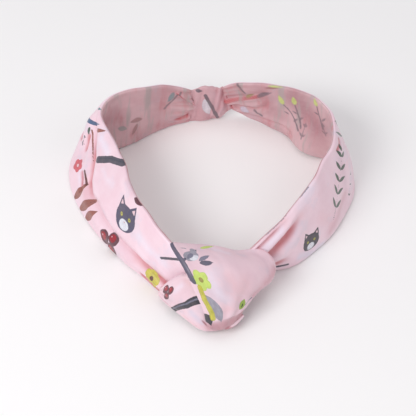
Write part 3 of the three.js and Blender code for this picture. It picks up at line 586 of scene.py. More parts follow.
# The print, and soft patches of painted highlight and shade, laid out on each piece of cloth in the cloth's own
# millimetres: (how it is drawn, ink, points, size).
PRINTS = {
    "left_face": [
        ("shape", "navy", [(63.5, 15.9), (64.8, 6.9), (58, 9.5)], 0),
        ("shape", "blush", [(62.9, 12.6), (63.5, 8.9), (60.3, 10.1)], 0),
        ("shape", "navy", [(45.9, 11.3), (49.3, 2.8), (53.9, 8.4)], 0),
        ("shape", "blush", [(48.1, 8.7), (49.4, 5.2), (51.6, 7.8)], 0),
        ("blob", "navy", [(44.6, 13.5), (44.5, 16.3), (45.5, 19.1), (47.6, 21.5), (50.4, 23.2), (53.7, 24.1), (57.1, 24), (60.1, 22.9), (62.3, 21), (63.6, 18.5), (63.7, 15.7), (62.7, 12.9), (60.6, 10.5), (57.8, 8.8), (54.5, 7.9), (51.1, 8), (48.1, 9.1), (45.9, 11)], 0),
        ("blob", "white", [(48.7, 18.8), (48.7, 20), (49.2, 21.2), (50.1, 22.2), (51.5, 23), (53, 23.4), (54.5, 23.3), (55.9, 22.9), (56.9, 22.2), (57.4, 21.1), (57.4, 20), (56.9, 18.8), (56, 17.8), (54.6, 17), (53.1, 16.6), (51.6, 16.6), (50.3, 17), (49.2, 17.8)], 0),
        ("dot", "yellow", (58.3, 16.1), 1.27),
        ("dot", "slatedk", (58.3, 16.1), 0.59),
        ("stroke", "slate", [(56.5, 20.1), (61.3, 20.9)], [0.25, 0.2]),
        ("stroke", "slate", [(56.1, 21.6), (60.7, 23.2)], [0.25, 0.2]),
        ("dot", "yellow", (50.4, 14), 1.27),
        ("dot", "slatedk", (50.4, 14), 0.59),
        ("stroke", "slate", [(50, 18.4), (45.4, 16.8)], [0.25, 0.2]),
        ("stroke", "slate", [(49.6, 19.9), (44.8, 19)], [0.25, 0.2]),
        ("shape", "coralpale", [(54.5, 18.3), (52.6, 17.8), (53.3, 19.2)], 0),
        ("dot", "maroon", (63.8, 41.4), 4.5),
        ("dot", "red", (64.6, 41.4), 2.7),
        ("dot", "blush", (65.8, 41.3), 0.54),
        ("dot", "maroon", (56.9, 36.4), 3.99),
        ("dot", "red", (57.6, 36.4), 2.39),
        ("dot", "blush", (58.8, 36.3), 0.48),
        ("dot", "maroon", (55.5, 43.8), 4.21),
        ("dot", "red", (56.3, 43.9), 2.52),
        ("dot", "blush", (57.4, 43.8), 0.5),
        ("blob", "yellow", [(17, 30.7), (16.5, 31.8), (16.6, 33.1), (17.3, 34.1), (18.5, 34.6), (19.7, 34.4), (20.7, 33.7), (21.2, 32.6), (21.1, 31.3), (20.3, 30.3), (19.2, 29.8), (18, 30)], 0),
        ("blob", "yellow", [(17.9, 34.5), (17.4, 35.6), (17.6, 36.8), (18.3, 37.8), (19.4, 38.3), (20.7, 38.2), (21.7, 37.4), (22.2, 36.3), (22, 35.1), (21.3, 34.1), (20.2, 33.6), (18.9, 33.7)], 0),
        ("blob", "yellow", [(21.8, 34.7), (21.3, 35.8), (21.4, 37), (22.2, 38), (23.3, 38.5), (24.5, 38.4), (25.5, 37.7), (26, 36.5), (25.9, 35.3), (25.2, 34.3), (24, 33.8), (22.8, 34)], 0),
        ("blob", "yellow", [(23.2, 31.1), (22.7, 32.2), (22.9, 33.4), (23.6, 34.4), (24.7, 34.9), (26, 34.8), (27, 34.1), (27.5, 32.9), (27.3, 31.7), (26.6, 30.7), (25.5, 30.2), (24.2, 30.3)], 0),
        ("blob", "yellow", [(20.2, 28.6), (19.7, 29.7), (19.9, 31), (20.6, 32), (21.7, 32.5), (23, 32.3), (24, 31.6), (24.5, 30.5), (24.3, 29.2), (23.6, 28.2), (22.5, 27.7), (21.2, 27.9)], 0),
        ("dot", "dkbrown", (21.9, 33.4), 1.36),
        ("leaf", "brown", [(101.4, 50.3), (99, 32.6)], [5.69, 0]),
        ("stroke", "dkbrown", [(101.4, 50.3), (99, 32.6)], [0.39, 0.2]),
        ("leaf", "brown", [(92.6, 49.6), (84.7, 31.8)], [6.08, 0]),
        ("stroke", "dkbrown", [(92.6, 49.6), (84.7, 31.8)], [0.39, 0.2]),
        ("leaf", "brown", [(84.5, 49.6), (78.8, 36.2)], [5.29, 0]),
        ("stroke", "dkbrown", [(84.5, 49.6), (78.8, 36.2)], [0.39, 0.2]),
        ("blob", "coral", [(113.1, 32), (112.5, 32.8), (112.4, 33.8), (112.8, 34.7), (113.5, 35.3), (114.5, 35.4), (115.4, 35), (116, 34.2), (116.1, 33.2), (115.7, 32.3), (115, 31.8), (114, 31.6)], 0),
        ("blob", "coral", [(113.2, 35.1), (112.6, 35.9), (112.4, 36.9), (112.8, 37.8), (113.6, 38.3), (114.6, 38.5), (115.5, 38.1), (116.1, 37.3), (116.2, 36.3), (115.8, 35.4), (115, 34.8), (114.1, 34.7)], 0),
        ("blob", "coral", [(116.1, 36), (115.5, 36.8), (115.4, 37.7), (115.8, 38.6), (116.6, 39.2), (117.5, 39.3), (118.4, 39), (119, 38.2), (119.1, 37.2), (118.8, 36.3), (118, 35.7), (117, 35.6)], 0),
        ("blob", "coral", [(117.8, 33.4), (117.3, 34.2), (117.1, 35.2), (117.5, 36.1), (118.3, 36.7), (119.3, 36.8), (120.2, 36.4), (120.8, 35.6), (120.9, 34.7), (120.5, 33.8), (119.7, 33.2), (118.7, 33.1)], 0),
        ("blob", "coral", [(116, 31), (115.4, 31.8), (115.3, 32.8), (115.7, 33.7), (116.4, 34.3), (117.4, 34.4), (118.3, 34), (118.9, 33.2), (119, 32.2), (118.6, 31.3), (117.9, 30.7), (116.9, 30.6)], 0),
        ("dot", "blush", (116.4, 35), 1.08),
        ("stroke", "dkbrown", [(107.8, 30.5), (99.4, 34.3)], [1.37, 1.37]),
        ("stroke", "char", [(126.8, 27.7), (127.7, 24.4), (128.6, 21.1)], [0.69, 0.55, 0.34]),
        ("leaf", "char", [(127.1, 26.5), (129.3, 25.6)], [0.78, 0]),
        ("leaf", "char", [(127.1, 26.5), (125.7, 24.6)], [0.78, 0]),
        ("leaf", "char", [(128.5, 21.6), (130.1, 20.9)], [0.78, 0]),
        ("leaf", "char", [(128.5, 21.6), (127.5, 20.2)], [0.78, 0]),
        ("leaf", "char", [(128.6, 21.1), (129, 19.6)], [0.78, 0]),
        ("stroke", "brown", [(128.1, 12.8), (118.5, 18), (108.8, 22.3)], [0.98, 0.98, 0.49]),
        ("stroke", "char", [(103, 15.4), (95, 6.5), (84.1, 0.2)], [4.51, 4.51, 4.51]),
        ("stroke", "grey", [(103.5, 15.1), (95.5, 6.3), (85, 0.1)], [0.99, 0.99, 0.99]),
        ("leaf", "maroon", [(55.4, 0.5), (46.9, 0)], [2.55, 0]),
        ("stroke", "char", [(19.6, 12.9), (9.8, 3.3)], [1.47, 1.47]),
        ("leaf", "blue", [(142.8, 20.9), (122.4, 0.8)], [2.74, 0]),
        ("leaf", "brown", [(126.6, 11.1), (116.2, -0)], [2.74, 0]),
        ("leaf", "teal", [(137.7, 2.7), (135.1, -0.4)], [1.64, 0]),
        ("leaf", "green", [(130.2, 12.6), (127.4, 17.3)], [1.92, 0]),
        # soft patches of painted highlight and painted shade
        ("painted_light", "pearl", [(114.8, 6.3), (108.8, 6.9), (101.3, 6.7)], [2.75, 0.75]),
        ("painted_light", "pearl", [(94, 14.7), (84.9, 15.6), (78.2, 13.2)], [2.55, 0.45]),
        ("painted_light", "pearl", [(38.5, 15.6), (27.1, 15.4), (16.9, 14.4)], [3.33, 0.6]),
        ("painted_light", "shade", [(69.6, 0.2), (64.1, 0.3), (58.8, 0.6)], [2.55, 0.3]),
        ("painted_light", "pearl", [(16.8, 1.1), (11.4, 2.8)], [2.55, 0.5]),
        ("painted_light", "warm", [(99.5, 12), (92, 13.3), (86.8, 14.4)], [1.96, 0.4]),
        ("painted_light", "warm", [(37, 34.1), (30.2, 32.7), (24.8, 31.4)], [1.96, 0.55]),
        ("painted_light", "warm", [(60.4, 12.6), (46.1, 12.3)], [1.37, 0.25]),
        ("painted_light", "pearl", [(111.4, 35.2), (106.5, 37.9), (102.2, 39.4)], [2.35, 0.6]),
    ],
    "right_face": [
        ("shape", "black", [(49.2, 27), (52, 21.3), (54.8, 25.5)], 0),
        ("shape", "blush", [(50.9, 25.4), (52, 23), (53.3, 25)], 0),
        ("shape", "black", [(61, 31.3), (62.4, 25.1), (57.6, 26.5)], 0),
        ("shape", "blush", [(60.7, 29), (61.4, 26.5), (59.1, 27.1)], 0),
        ("blob", "black", [(60.8, 33), (59.8, 34.7), (58.1, 35.8), (56, 36.3), (53.7, 36.2), (51.5, 35.4), (49.7, 34), (48.4, 32.3), (47.9, 30.3), (48.2, 28.4), (49.2, 26.7), (50.9, 25.6), (53, 25.1), (55.3, 25.2), (57.5, 26), (59.3, 27.4), (60.6, 29.1), (61.1, 31.1)], 0),
        ("blob", "white", [(56.4, 34.4), (56, 35.1), (55.2, 35.6), (54.3, 35.8), (53.3, 35.7), (52.2, 35.3), (51.4, 34.7), (50.8, 33.9), (50.5, 33.1), (50.6, 32.3), (51.1, 31.6), (51.8, 31.2), (52.8, 31), (53.8, 31.1), (54.8, 31.4), (55.7, 32), (56.3, 32.8), (56.5, 33.6)], 0),
        ("dot", "yellow", (52.1, 29.1), 0.88),
        ("dot", "slatedk", (52.1, 29.1), 0.4),
        ("stroke", "slate", [(51.6, 32.1), (48.5, 30.7)], [0.26, 0.2]),
        ("stroke", "slate", [(51.2, 33.1), (47.9, 32.2)], [0.26, 0.2]),
        ("dot", "yellow", (57.4, 31), 0.88),
        ("dot", "slatedk", (57.4, 31), 0.4),
        ("stroke", "slate", [(55.9, 33.6), (59.1, 34.5)], [0.26, 0.2]),
        ("stroke", "slate", [(55.5, 34.6), (58.6, 36.1)], [0.26, 0.2]),
        ("shape", "coralpale", [(53.4, 31.9), (54.6, 32.3), (53.7, 32.8)], 0),
        ("stroke", "char", [(29.2, 28.2), (35.8, 31.4)], [1.43, 1.43]),
        ("stroke", "dkgreen", [(75.1, 33.2), (91.8, 21.1), (108.5, 9)], [0.61, 0.49, 0.31]),
        ("leaf", "green", [(81.1, 28.8), (81.5, 19.7)], [2.45, 0]),
        ("leaf", "green", [(81.1, 28.8), (89.9, 31.3)], [2.45, 0]),
        ("leaf", "green", [(87.3, 24.4), (87.7, 15.9)], [2.45, 0]),
        ("leaf", "green", [(87.3, 24.4), (95.5, 26.7)], [2.45, 0]),
        ("leaf", "green", [(93.5, 19.9), (93.8, 12)], [2.45, 0]),
        ("leaf", "green", [(93.5, 19.9), (101.1, 22)], [2.45, 0]),
        ("leaf", "green", [(99.6, 15.4), (100, 8.2)], [2.45, 0]),
        ("leaf", "green", [(99.6, 15.4), (106.6, 17.4)], [2.45, 0]),
        ("leaf", "green", [(105.8, 10.9), (106.1, 4.3)], [2.45, 0]),
        ("leaf", "green", [(105.8, 10.9), (112.2, 12.7)], [2.45, 0]),
        ("leaf", "green", [(108.5, 9), (113.2, 5.6)], [2.45, 0]),
        ("stroke", "grey", [(97.3, 40), (103.1, 34.2), (108.9, 28.4)], [0.41, 0.33, 0.2]),
        ("leaf", "green", [(99.4, 37.9), (99.1, 35.5)], [1.02, 0]),
        ("leaf", "green", [(99.4, 37.9), (101.9, 38.2)], [1.02, 0]),
        ("leaf", "green", [(103.7, 33.6), (103.4, 31.5)], [1.02, 0]),
        ("leaf", "green", [(103.7, 33.6), (105.8, 33.9)], [1.02, 0]),
        ("leaf", "green", [(107.9, 29.3), (107.7, 27.5)], [1.02, 0]),
        ("leaf", "green", [(107.9, 29.3), (109.7, 29.5)], [1.02, 0]),
        ("leaf", "green", [(108.9, 28.4), (110, 27.3)], [1.02, 0]),
        ("leaf", "green", [(126.8, 0.1), (131, 10.8)], [2.04, 0]),
        ("leaf", "green", [(117.6, 0.1), (128.3, 16.7)], [2.04, 0]),
        ("stroke", "grey", [(28.6, -0.3), (45, -0.3)], [0.71, 0.71]),
        ("stroke", "grey", [(58.7, -0.2), (68.1, -0.1)], [0.61, 0.61]),
        # soft patches of painted highlight and painted shade
        ("painted_light", "pearl", [(25.7, 5.5), (31.4, 3.9), (38.1, 2.7)], [2.24, 0.8]),
        ("painted_light", "pearl", [(44.2, 32.5), (54.6, 40.9), (62.3, 42)], [2.45, 0.7]),
        ("painted_light", "pearl", [(71.9, 0.7), (61.6, 1.2), (54.8, 2.5)], [2.65, 0.4]),
        ("painted_light", "warm", [(30.1, 15.4), (38.6, 12.4), (47.1, 7.7), (52.1, 7.5)], [3.27, 0.6]),
        ("painted_light", "warm", [(37.9, 0.1), (42.3, 0.1)], [1.84, 0.7]),
        ("painted_light", "warm", [(66.8, 21.9), (71.9, 32.8)], [4.08, 0.35]),
        ("painted_light", "shade", [(95.6, 32.1), (81.2, 35.1), (70.1, 38)], [3.06, 0.55]),
        ("painted_light", "dusk", [(103.5, 10.9), (98.2, 25.8)], [3.06, 0.5]),
        ("painted_light", "cool", [(44.2, 32.5), (54.6, 40.9), (63, 42.1)], [2.45, 0.6]),
    ],
    "right_lining": [
        ("stroke", "inkwash", [(160.3, 27.2), (173.4, 13.5)], [1.23, 0.96]),
        ("leaf", "lime", [(173.4, 13.5), (177.4, 6.2)], [3.84, 0]),
        ("leaf", "inkwash", [(166, 24.3), (162.2, 19.9)], [1.23, 0]),
        ("leaf", "inkwash", [(169.9, 20.9), (173.6, 19.2)], [1.23, 0]),
        ("stroke", "inkwash", [(159.2, 25.3), (165, 10.7)], [1.23, 0.96]),
        ("leaf", "lime", [(165, 10.7), (167, 4.8)], [3.84, 0]),
        ("leaf", "inkwash", [(161.8, 21), (158.4, 17.3)], [1.23, 0]),
        ("leaf", "inkwash", [(163.2, 16.7), (167.4, 16.3)], [1.23, 0]),
        ("stroke", "inkwash", [(142.8, 18.9), (148.4, 5.1)], [1.23, 0.96]),
        ("leaf", "lime", [(148.4, 5.1), (151.3, 0.3)], [3.84, 0]),
        ("leaf", "inkwash", [(144.7, 14.1), (138.1, 6.6)], [1.23, 0]),
        ("leaf", "inkwash", [(146.2, 10.2), (150.7, 10.2)], [1.23, 0]),
        ("stroke", "inkwash", [(156.6, 31.2), (156.5, 27.1), (156.4, 23)], [0.68, 0.55, 0.34]),
        ("leaf", "inkwash", [(156.6, 29.7), (159.1, 27.6)], [1.1, 0]),
        ("leaf", "inkwash", [(156.6, 29.7), (153.9, 27.7)], [1.1, 0]),
        ("leaf", "inkwash", [(156.4, 23.6), (158.3, 22.1)], [1.1, 0]),
        ("leaf", "inkwash", [(156.4, 23.6), (154.5, 22.2)], [1.1, 0]),
        ("leaf", "inkwash", [(156.4, 23), (156.3, 20.8)], [1.1, 0]),
        ("stroke", "inkwash", [(140.5, 22.9), (141.5, 19.5), (142.5, 16.1)], [0.68, 0.55, 0.34]),
        ("leaf", "inkwash", [(140.8, 21.7), (143.9, 20.5)], [1.1, 0]),
        ("leaf", "inkwash", [(140.8, 21.7), (138.9, 19)], [1.1, 0]),
        ("leaf", "inkwash", [(142.4, 16.6), (144.6, 15.7)], [1.1, 0]),
        ("leaf", "inkwash", [(142.4, 16.6), (141, 14.6)], [1.1, 0]),
        ("leaf", "inkwash", [(142.5, 16.1), (143.2, 14)], [1.1, 0]),
        ("stroke", "inkwash", [(204.6, 0.2), (200.4, 8.1)], [1.23, 1.23]),
        ("leaf", "olive", [(200.7, 11.4), (193.9, 8.5)], [1.92, 0]),
        ("leaf", "inkwash", [(192.4, 9.8), (181.8, 5.6)], [2.19, 0]),
        ("leaf", "brown", [(187, 2.7), (176.7, 0.8)], [1.64, 0]),
        ("leaf", "lime", [(185.1, 0.8), (174.8, 0.2)], [1.1, 0]),
        ("stroke", "inkwash", [(195.8, 23.3), (189.8, 26.7)], [1.23, 1.23]),
        ("leaf", "lilac", [(206.4, 22), (199, 25.1)], [3.29, 0]),
        # soft patches of painted shade
        ("painted_light", "deepshade", [(167, 4.5), (158.1, 12), (147.5, 20.7)], [8.22, 0.75]),
        ("painted_light", "deepshade", [(186.8, 12), (175.7, 23.6)], [5.48, 0.35]),
    ],
    "left_lining": [
        ("leaf", "teal", [(194.7, 4.2), (190.2, 13.1)], [3.56, 0]),
        ("stroke", "inkwash", [(199.4, 3.1), (188.4, 18.7)], [1.1, 1.1]),
        ("leaf", "brownwash", [(172.3, 23.9), (163.1, 24.4)], [3.84, 0]),
        ("leaf", "brownwash", [(169.1, 27.1), (166, 37)], [3.01, 0]),
        ("leaf", "tealwash", [(155.6, 26.3), (161.9, 28.7)], [3.56, 0]),
    ],
    "casing": [
        ("leaf", "white", [(10.4, 7.9), (13.7, 23.3)], [5.48, 0]),
        ("stroke", "inkwash", [(11.2, 5.5), (15.2, 14.7), (18.9, 26.4)], [2.33, 2.33, 2.33]),
        ("leaf", "inkwash", [(4.8, 0.1), (9.4, 2.1)], [1.92, 0]),
        # a soft patch of painted highlight
        ("painted_light", "lift", [(18.5, 5.8), (22.4, 16.1)], [3.56, 0.7]),
    ],
    "wrap": [
        ("stroke", "slatedk", [(20.9, 0.4), (33.7, 0.7), (43, 1.3)], [2.14, 2.14, 2.14]),
        ("stroke", "slatedk", [(31, -0.4), (32.5, 0.3)], [0.86, 1]),
        ("blob", "grey", [(29.6, 11.5), (30.5, 11.5), (31.4, 10.9), (32.3, 9.9), (33.1, 8.5), (33.5, 6.9), (33.7, 5.4), (33.6, 4), (33.1, 3), (32.4, 2.5), (31.5, 2.5), (30.6, 3.1), (29.7, 4.1), (28.9, 5.5), (28.5, 7.1), (28.3, 8.6), (28.4, 10), (28.9, 11)], 0),
        ("blob", "white", [(31.2, 10.7), (31.7, 10.7), (32.2, 10.3), (32.7, 9.6), (33.1, 8.8), (33.4, 7.8), (33.5, 6.8), (33.5, 6), (33.3, 5.4), (33, 5.1), (32.5, 5.2), (32, 5.6), (31.5, 6.2), (31.1, 7.1), (30.8, 8.1), (30.6, 9), (30.7, 9.8), (30.9, 10.4)], 0),
        ("blob", "grey", [(27.4, 12.2), (28, 12.3), (28.5, 12.1), (29, 11.8), (29.3, 11.3), (29.5, 10.8), (29.5, 10.2), (29.3, 9.6), (28.9, 9.2), (28.4, 9), (27.9, 8.9), (27.3, 9), (26.8, 9.4), (26.5, 9.8), (26.3, 10.4), (26.3, 11), (26.5, 11.5), (26.9, 11.9)], 0),
        ("shape", "slatedk", [(27.1, 11.8), (27.2, 13.5), (28, 12.1)], 0),
        ("dot", "slatedk", (27.5, 10.9), 0.33),
        ("leaf", "slate", [(29.7, 9.1), (32.5, 3.8)], [1.98, 0]),
        ("leaf", "slatedk", [(32, 3.6), (34.2, -0.4)], [1.23, 0]),
        ("leaf", "slate", [(33.8, 9.2), (30.9, 17.3)], [1.86, 0]),
        ("leaf", "slatedk", [(34.9, 8.7), (34.7, 16.4)], [2.29, 0]),
        ("leaf", "lime", [(26, 15.4), (22.6, 25.2)], [2, 0]),
        ("stroke", "grey", [(26.1, 4.7), (26.5, 7.3)], [0.5, 0.57]),
        ("blob", "lime", [(43.5, 9.7), (44.5, 9.5), (45.3, 8.7), (45.5, 7.8), (45.3, 6.8), (44.5, 6), (43.5, 5.8), (42.6, 6), (41.8, 6.8), (41.6, 7.8), (41.8, 8.7), (42.6, 9.5)], 0),
        ("blob", "lime", [(44.6, 6.7), (45.6, 6.4), (46.3, 5.7), (46.6, 4.7), (46.3, 3.7), (45.6, 3), (44.6, 2.7), (43.6, 3), (42.9, 3.7), (42.6, 4.7), (42.9, 5.7), (43.6, 6.4)], 0),
        ("blob", "lime", [(42.1, 4.7), (43.1, 4.5), (43.8, 3.8), (44.1, 2.8), (43.8, 1.8), (43.1, 1.1), (42.1, 0.8), (41.1, 1.1), (40.4, 1.8), (40.1, 2.8), (40.4, 3.8), (41.1, 4.5)], 0),
        ("blob", "lime", [(39.4, 6.6), (40.4, 6.3), (41.1, 5.6), (41.4, 4.6), (41.1, 3.6), (40.4, 2.9), (39.4, 2.6), (38.4, 2.9), (37.7, 3.6), (37.4, 4.6), (37.7, 5.6), (38.4, 6.3)], 0),
        ("blob", "lime", [(40.3, 9.6), (41.3, 9.4), (42, 8.7), (42.3, 7.7), (42, 6.7), (41.3, 6), (40.3, 5.7), (39.3, 6), (38.6, 6.7), (38.4, 7.7), (38.6, 8.7), (39.3, 9.4)], 0),
        ("dot", "olive", (42, 5.5), 1.13),
        ("stroke", "yellow", [(45.4, 3.1), (51.3, 2.2), (60.7, 2.8)], [2.43, 2.43, 2.43]),
        ("stroke", "lime", [(45.2, 3.3), (51, 2.3), (60.4, 2.8)], [0.53, 0.53, 0.53]),
        ("leaf", "grey", [(48.3, 3.9), (64.1, 6.8)], [6, 0]),
        ("leaf", "black", [(57.8, 0.3), (64.7, 1.6)], [3.29, 0]),
        ("leaf", "leafgreen", [(58.9, 18.3), (52.3, 25.1)], [3.14, 0]),
        ("leaf", "dkgreen", [(58, 19.5), (54.9, 22.3)], [0.71, 0]),
        ("stroke", "slate", [(56.9, 23), (53.7, 31)], [0.79, 0.79]),
        # soft patches of painted highlight and painted shade
        ("painted_light", "pearl", [(39.9, 11.3), (45.1, 11.1), (49.3, 12.5)], [3.29, 0.55]),
        ("painted_light", "pearl", [(25.7, 24.6), (28.3, 30.2)], [2.14, 0.5]),
        ("painted_light", "warm", [(41.9, 21.4), (46.2, 25.4), (43.2, 30.4)], [4.29, 0.45]),
        ("painted_light", "warm", [(56.8, 9.6), (55.9, 14), (50.4, 23)], [2.14, 0.4]),
        ("painted_light", "shade", [(36.5, 55.4), (41.1, 49.7), (45.8, 42.5), (53.3, 31.7)], [2.43, 0.75]),
        ("painted_light", "dusk", [(30.2, 14), (34, 20.6), (36.4, 29)], [2.86, 0.35]),
        ("painted_light", "dusk", [(25.3, 47.3), (29.7, 50.7), (36.3, 49.6)], [2.14, 0.4]),
        ("painted_light", "warm", [(21.6, 48.8), (22.4, 53.9), (24.6, 57.3), (30.6, 57.1)], [0.5, 0.9]),
    ],
    "tuck": [
        ("dot", "maroon", (14.5, 4.7), 2.75),
        ("dot", "red", (14.3, 4.2), 1.65),
        ("dot", "blush", (14, 3.5), 0.33),
        ("dot", "maroon", (19.2, 7), 2.44),
        ("dot", "red", (19, 6.6), 1.46),
        ("dot", "blush", (18.7, 6), 0.29),
        ("dot", "maroon", (15.5, 9.8), 2.57),
        ("dot", "red", (15.3, 9.4), 1.54),
        ("dot", "blush", (15, 8.8), 0.31),
        ("stroke", "black", [(19.1, 20.6), (30, 17.5), (36.7, 12.4)], [4.14, 4.14, 4.14]),
        ("stroke", "slate", [(19.4, 19.9), (30, 16.9), (36.7, 11.9)], [0.91, 0.91, 0.91]),
        # soft patches of painted highlight and painted shade
        ("painted_light", "cool", [(32.4, 21.6), (34.7, 24.3), (36.4, 25.6)], [2.43, 0.9]),
        ("painted_light", "pearl", [(23.6, 8.4), (27, 6.1)], [1.86, 0.5]),
        ("painted_light", "warm", [(29.6, 2.6), (32.7, 5.1)], [1.29, 0.4]),
        ("painted_light", "warm", [(26.5, 25), (30.9, 28.9), (34.9, 30.3)], [1, 0.5]),
        ("painted_light", "warm", [(36.4, 28.2), (40.6, 27.4), (46.9, 22.2)], [1.14, 0.7]),
        ("painted_light", "hollow", [(37.7, 24.9), (38.9, 25.9), (40.3, 26)], [0.64, 1]),
        ("painted_light", "hollow", [(49.7, 18.6), (52.6, 17.3), (55.7, 14.8)], [1.21, 1]),
        ("painted_light", "hollow", [(55.8, 13.5), (58.8, 12.2)], [0.86, 1]),
        ("painted_light", "pearl", [(42.8, 25), (46.9, 21.9), (51, 19.4)], [0.64, 0.5]),
    ],
}

# ============================================================================================
# THE PRINT on each piece, in that piece's own cloth coordinates (u along, v across, mm)
# ============================================================================================


def print_left_face(U, V):
    p = draw(Print(U, V), PRINTS["left_face"])
    # the outside of the back: the same print goes on
    sprig(p, [(150, 40), (158, 34), (166, 28), (174, 22), (181, 17)], 10.5, 2.2)
    p.leaf("lime", (164, 42), (170, 38.6), 3.0)
    p.leaf("yellow", (186, 30), (193, 27.5), 3.0)
    p.stroke("slatedk", [(143, 24), (150, 19), (158, 16), (166, 9)], [3.6, 3.0, 2.4, 1.6])
    p.stroke("slatedk", [(153, 18), (151, 12), (154, 8)], [1.2, 0.8, 0.4])
    berries(p, fit((176, 36), (0.8, 0.1), (-0.1, 0.8)))
    flower(p, fit((194, 14), (0.9, 0.1), (-0.1, 0.9)), "coral", "maroon")
    return p


def print_right_face(U, V):
    p = draw(Print(U, V), PRINTS["right_face"])
    sprig(p, [(146, 14), (154, 20), (163, 24), (171, 29)], 10.5, 2.2)
    for a, b, c in [((150, 36), (157, 31), (162, 28)), ((186, 10), (180, 17), (176, 26)), ((196, 12), (192, 20), (188, 30))]:
        p.stroke("slatedk", [a, b, c], [1.0, 0.8, 0.5])
        p.leaf("lime", a, (a[0] + 2.0, a[1] - 6.0), 3.2)
    flower(p, fit((176, 12), (0.9, 0.1), (-0.1, 0.9)))
    berries(p, fit((142, 34), (0.8, 0.1), (-0.1, 0.8)))
    return p


def print_left_lining(U, V):
    p = draw(Print(U, V), PRINTS["left_lining"])
    for a, b, w in [((148, 26), (150, 32), 3.0), ((140, 8), (142, 16), 2.2)]:
        p.leaf("tealwash", a, b, w)
    for k in range(6):  # towards the front
        u = 12 + 22 * k
        sprig(p, [(u, 12 + 5 * (k % 3)), (u + 5, 14 + 4 * (k % 3)), (u + 10, 15 + 4 * (k % 3))], 5.5, 1.4, ink="tealwash")
        p.stroke("inkwash", [(u + 2, 34), (u + 8, 30), (u + 15, 28)], [1.2, 0.8, 0.4])
        p.leaf("lime", (u + 13, 32), (u + 18, 36), 2.8)
    return p


def print_right_lining(U, V):
    p = draw(Print(U, V), PRINTS["right_lining"])
    for k in range(5):
        u = 12 + 22 * k
        sprig(p, [(u, 14 + 5 * (k % 3)), (u + 5, 16 + 4 * (k % 3)), (u + 10, 17 + 4 * (k % 3))], 5.5, 1.4, ink="tealwash")
        p.stroke("inkwash", [(u + 2, 36), (u + 8, 32), (u + 15, 30)], [1.2, 0.8, 0.4])
        p.leaf("brownwash", (u + 13, 28), (u + 18, 24), 2.8)
    return p


def print_casing(U, V, side):
    p = draw(Print(U, V), PRINTS["casing"])
    front = side < 0
    for k in p.ink:
        p.ink[k] = np.where(front, p.ink[k], -REACH)
    q = Print(U, V)
    q.leaf("green", (6, 6), (13, 13), 2.6)
    q.leaf("lime", (16, 14), (22, 20), 3.0)
    q.stroke("inkwash", [(10, 26), (15, 20), (20, 12)], [1.2, 1.0, 0.6])
    for k, d in q.ink.items():
        d = np.where(front, -REACH, d)
        p.ink[k] = np.maximum(p.ink.get(k, np.full(U.shape, -REACH)), d)
    return p


# ============================================================================================
# MATERIALS
# ============================================================================================


def srgb(r, g, b):
    f = lambda c: (c / 255 / 12.92) if c / 255 <= 0.04045 else ((c / 255 + 0.055) / 1.055) ** 2.4
    return (f(r), f(g), f(b), 1.0)


class Nodes:
    """Short hand for building a material's node tree."""

    def __init__(self, name):
        self.m = bpy.data.materials.new(name)
        self.m.use_nodes = True
        self.t = self.m.node_tree
        self.t.nodes.clear()
        self.out = self.add("ShaderNodeOutputMaterial")
        self.p = self.add("ShaderNodeBsdfPrincipled")
        self.link(self.p.outputs[0], self.out.inputs["Surface"])

    def add(self, kind, **sets):
        n = self.t.nodes.new(kind)
        for k, v in sets.items():
            setattr(n, k, v)
        return n

    def link(self, a, b):
        self.t.links.new(a, b)

    def put(self, socket, value):
        if hasattr(value, "is_linked") or hasattr(value, "links"):
            self.link(value, socket)
        else:
            socket.default_value = value

    def attr(self, name):
        return self.add("ShaderNodeAttribute", attribute_type="GEOMETRY", attribute_name=name)

    def math(self, op, a, b=0.0, c=0.0, clamp=False):
        n = self.add("ShaderNodeMath", operation=op, use_clamp=clamp)
        for s, v in zip(n.inputs, (a, b, c)):
            self.put(s, v)
        return n.outputs[0]

    def mix(self, f, a, b, blend="MIX"):
        n = self.add("ShaderNodeMix", data_type="RGBA", blend_type=blend)
        n.clamp_factor = True
        self.put(n.inputs[0], f)
        self.put(n.inputs[6], a)
        self.put(n.inputs[7], b)
        return n.outputs[2]

    def ramp(self, x, lo, hi, a=0.0, b=1.0, smooth_step=True):
        n = self.add("ShaderNodeMapRange", interpolation_type="SMOOTHSTEP" if smooth_step else "LINEAR")
        for s, v in zip(n.inputs, (x, lo, hi, a, b)):
            self.put(s, v)
        return n.outputs[0]

    def noise(self, vector, scale, detail=3.0, rough=0.5, stretch=None, seed=0.0):
        n = self.add("ShaderNodeTexNoise", noise_dimensions="3D")
        v = vector
        if stretch is not None or seed:
            k = self.add("ShaderNodeMapping")
            self.link(vector, k.inputs[0])
            k.inputs["Scale"].default_value = stretch or (1, 1, 1)
            k.inputs["Location"].default_value = (seed, seed * 0.7, seed * 1.3)
            v = k.outputs[0]
        self.link(v, n.inputs["Vector"])
        n.inputs["Scale"].default_value = scale
        n.inputs["Detail"].default_value = detail
        n.inputs["Roughness"].default_value = rough
        return n.outputs["Fac"]


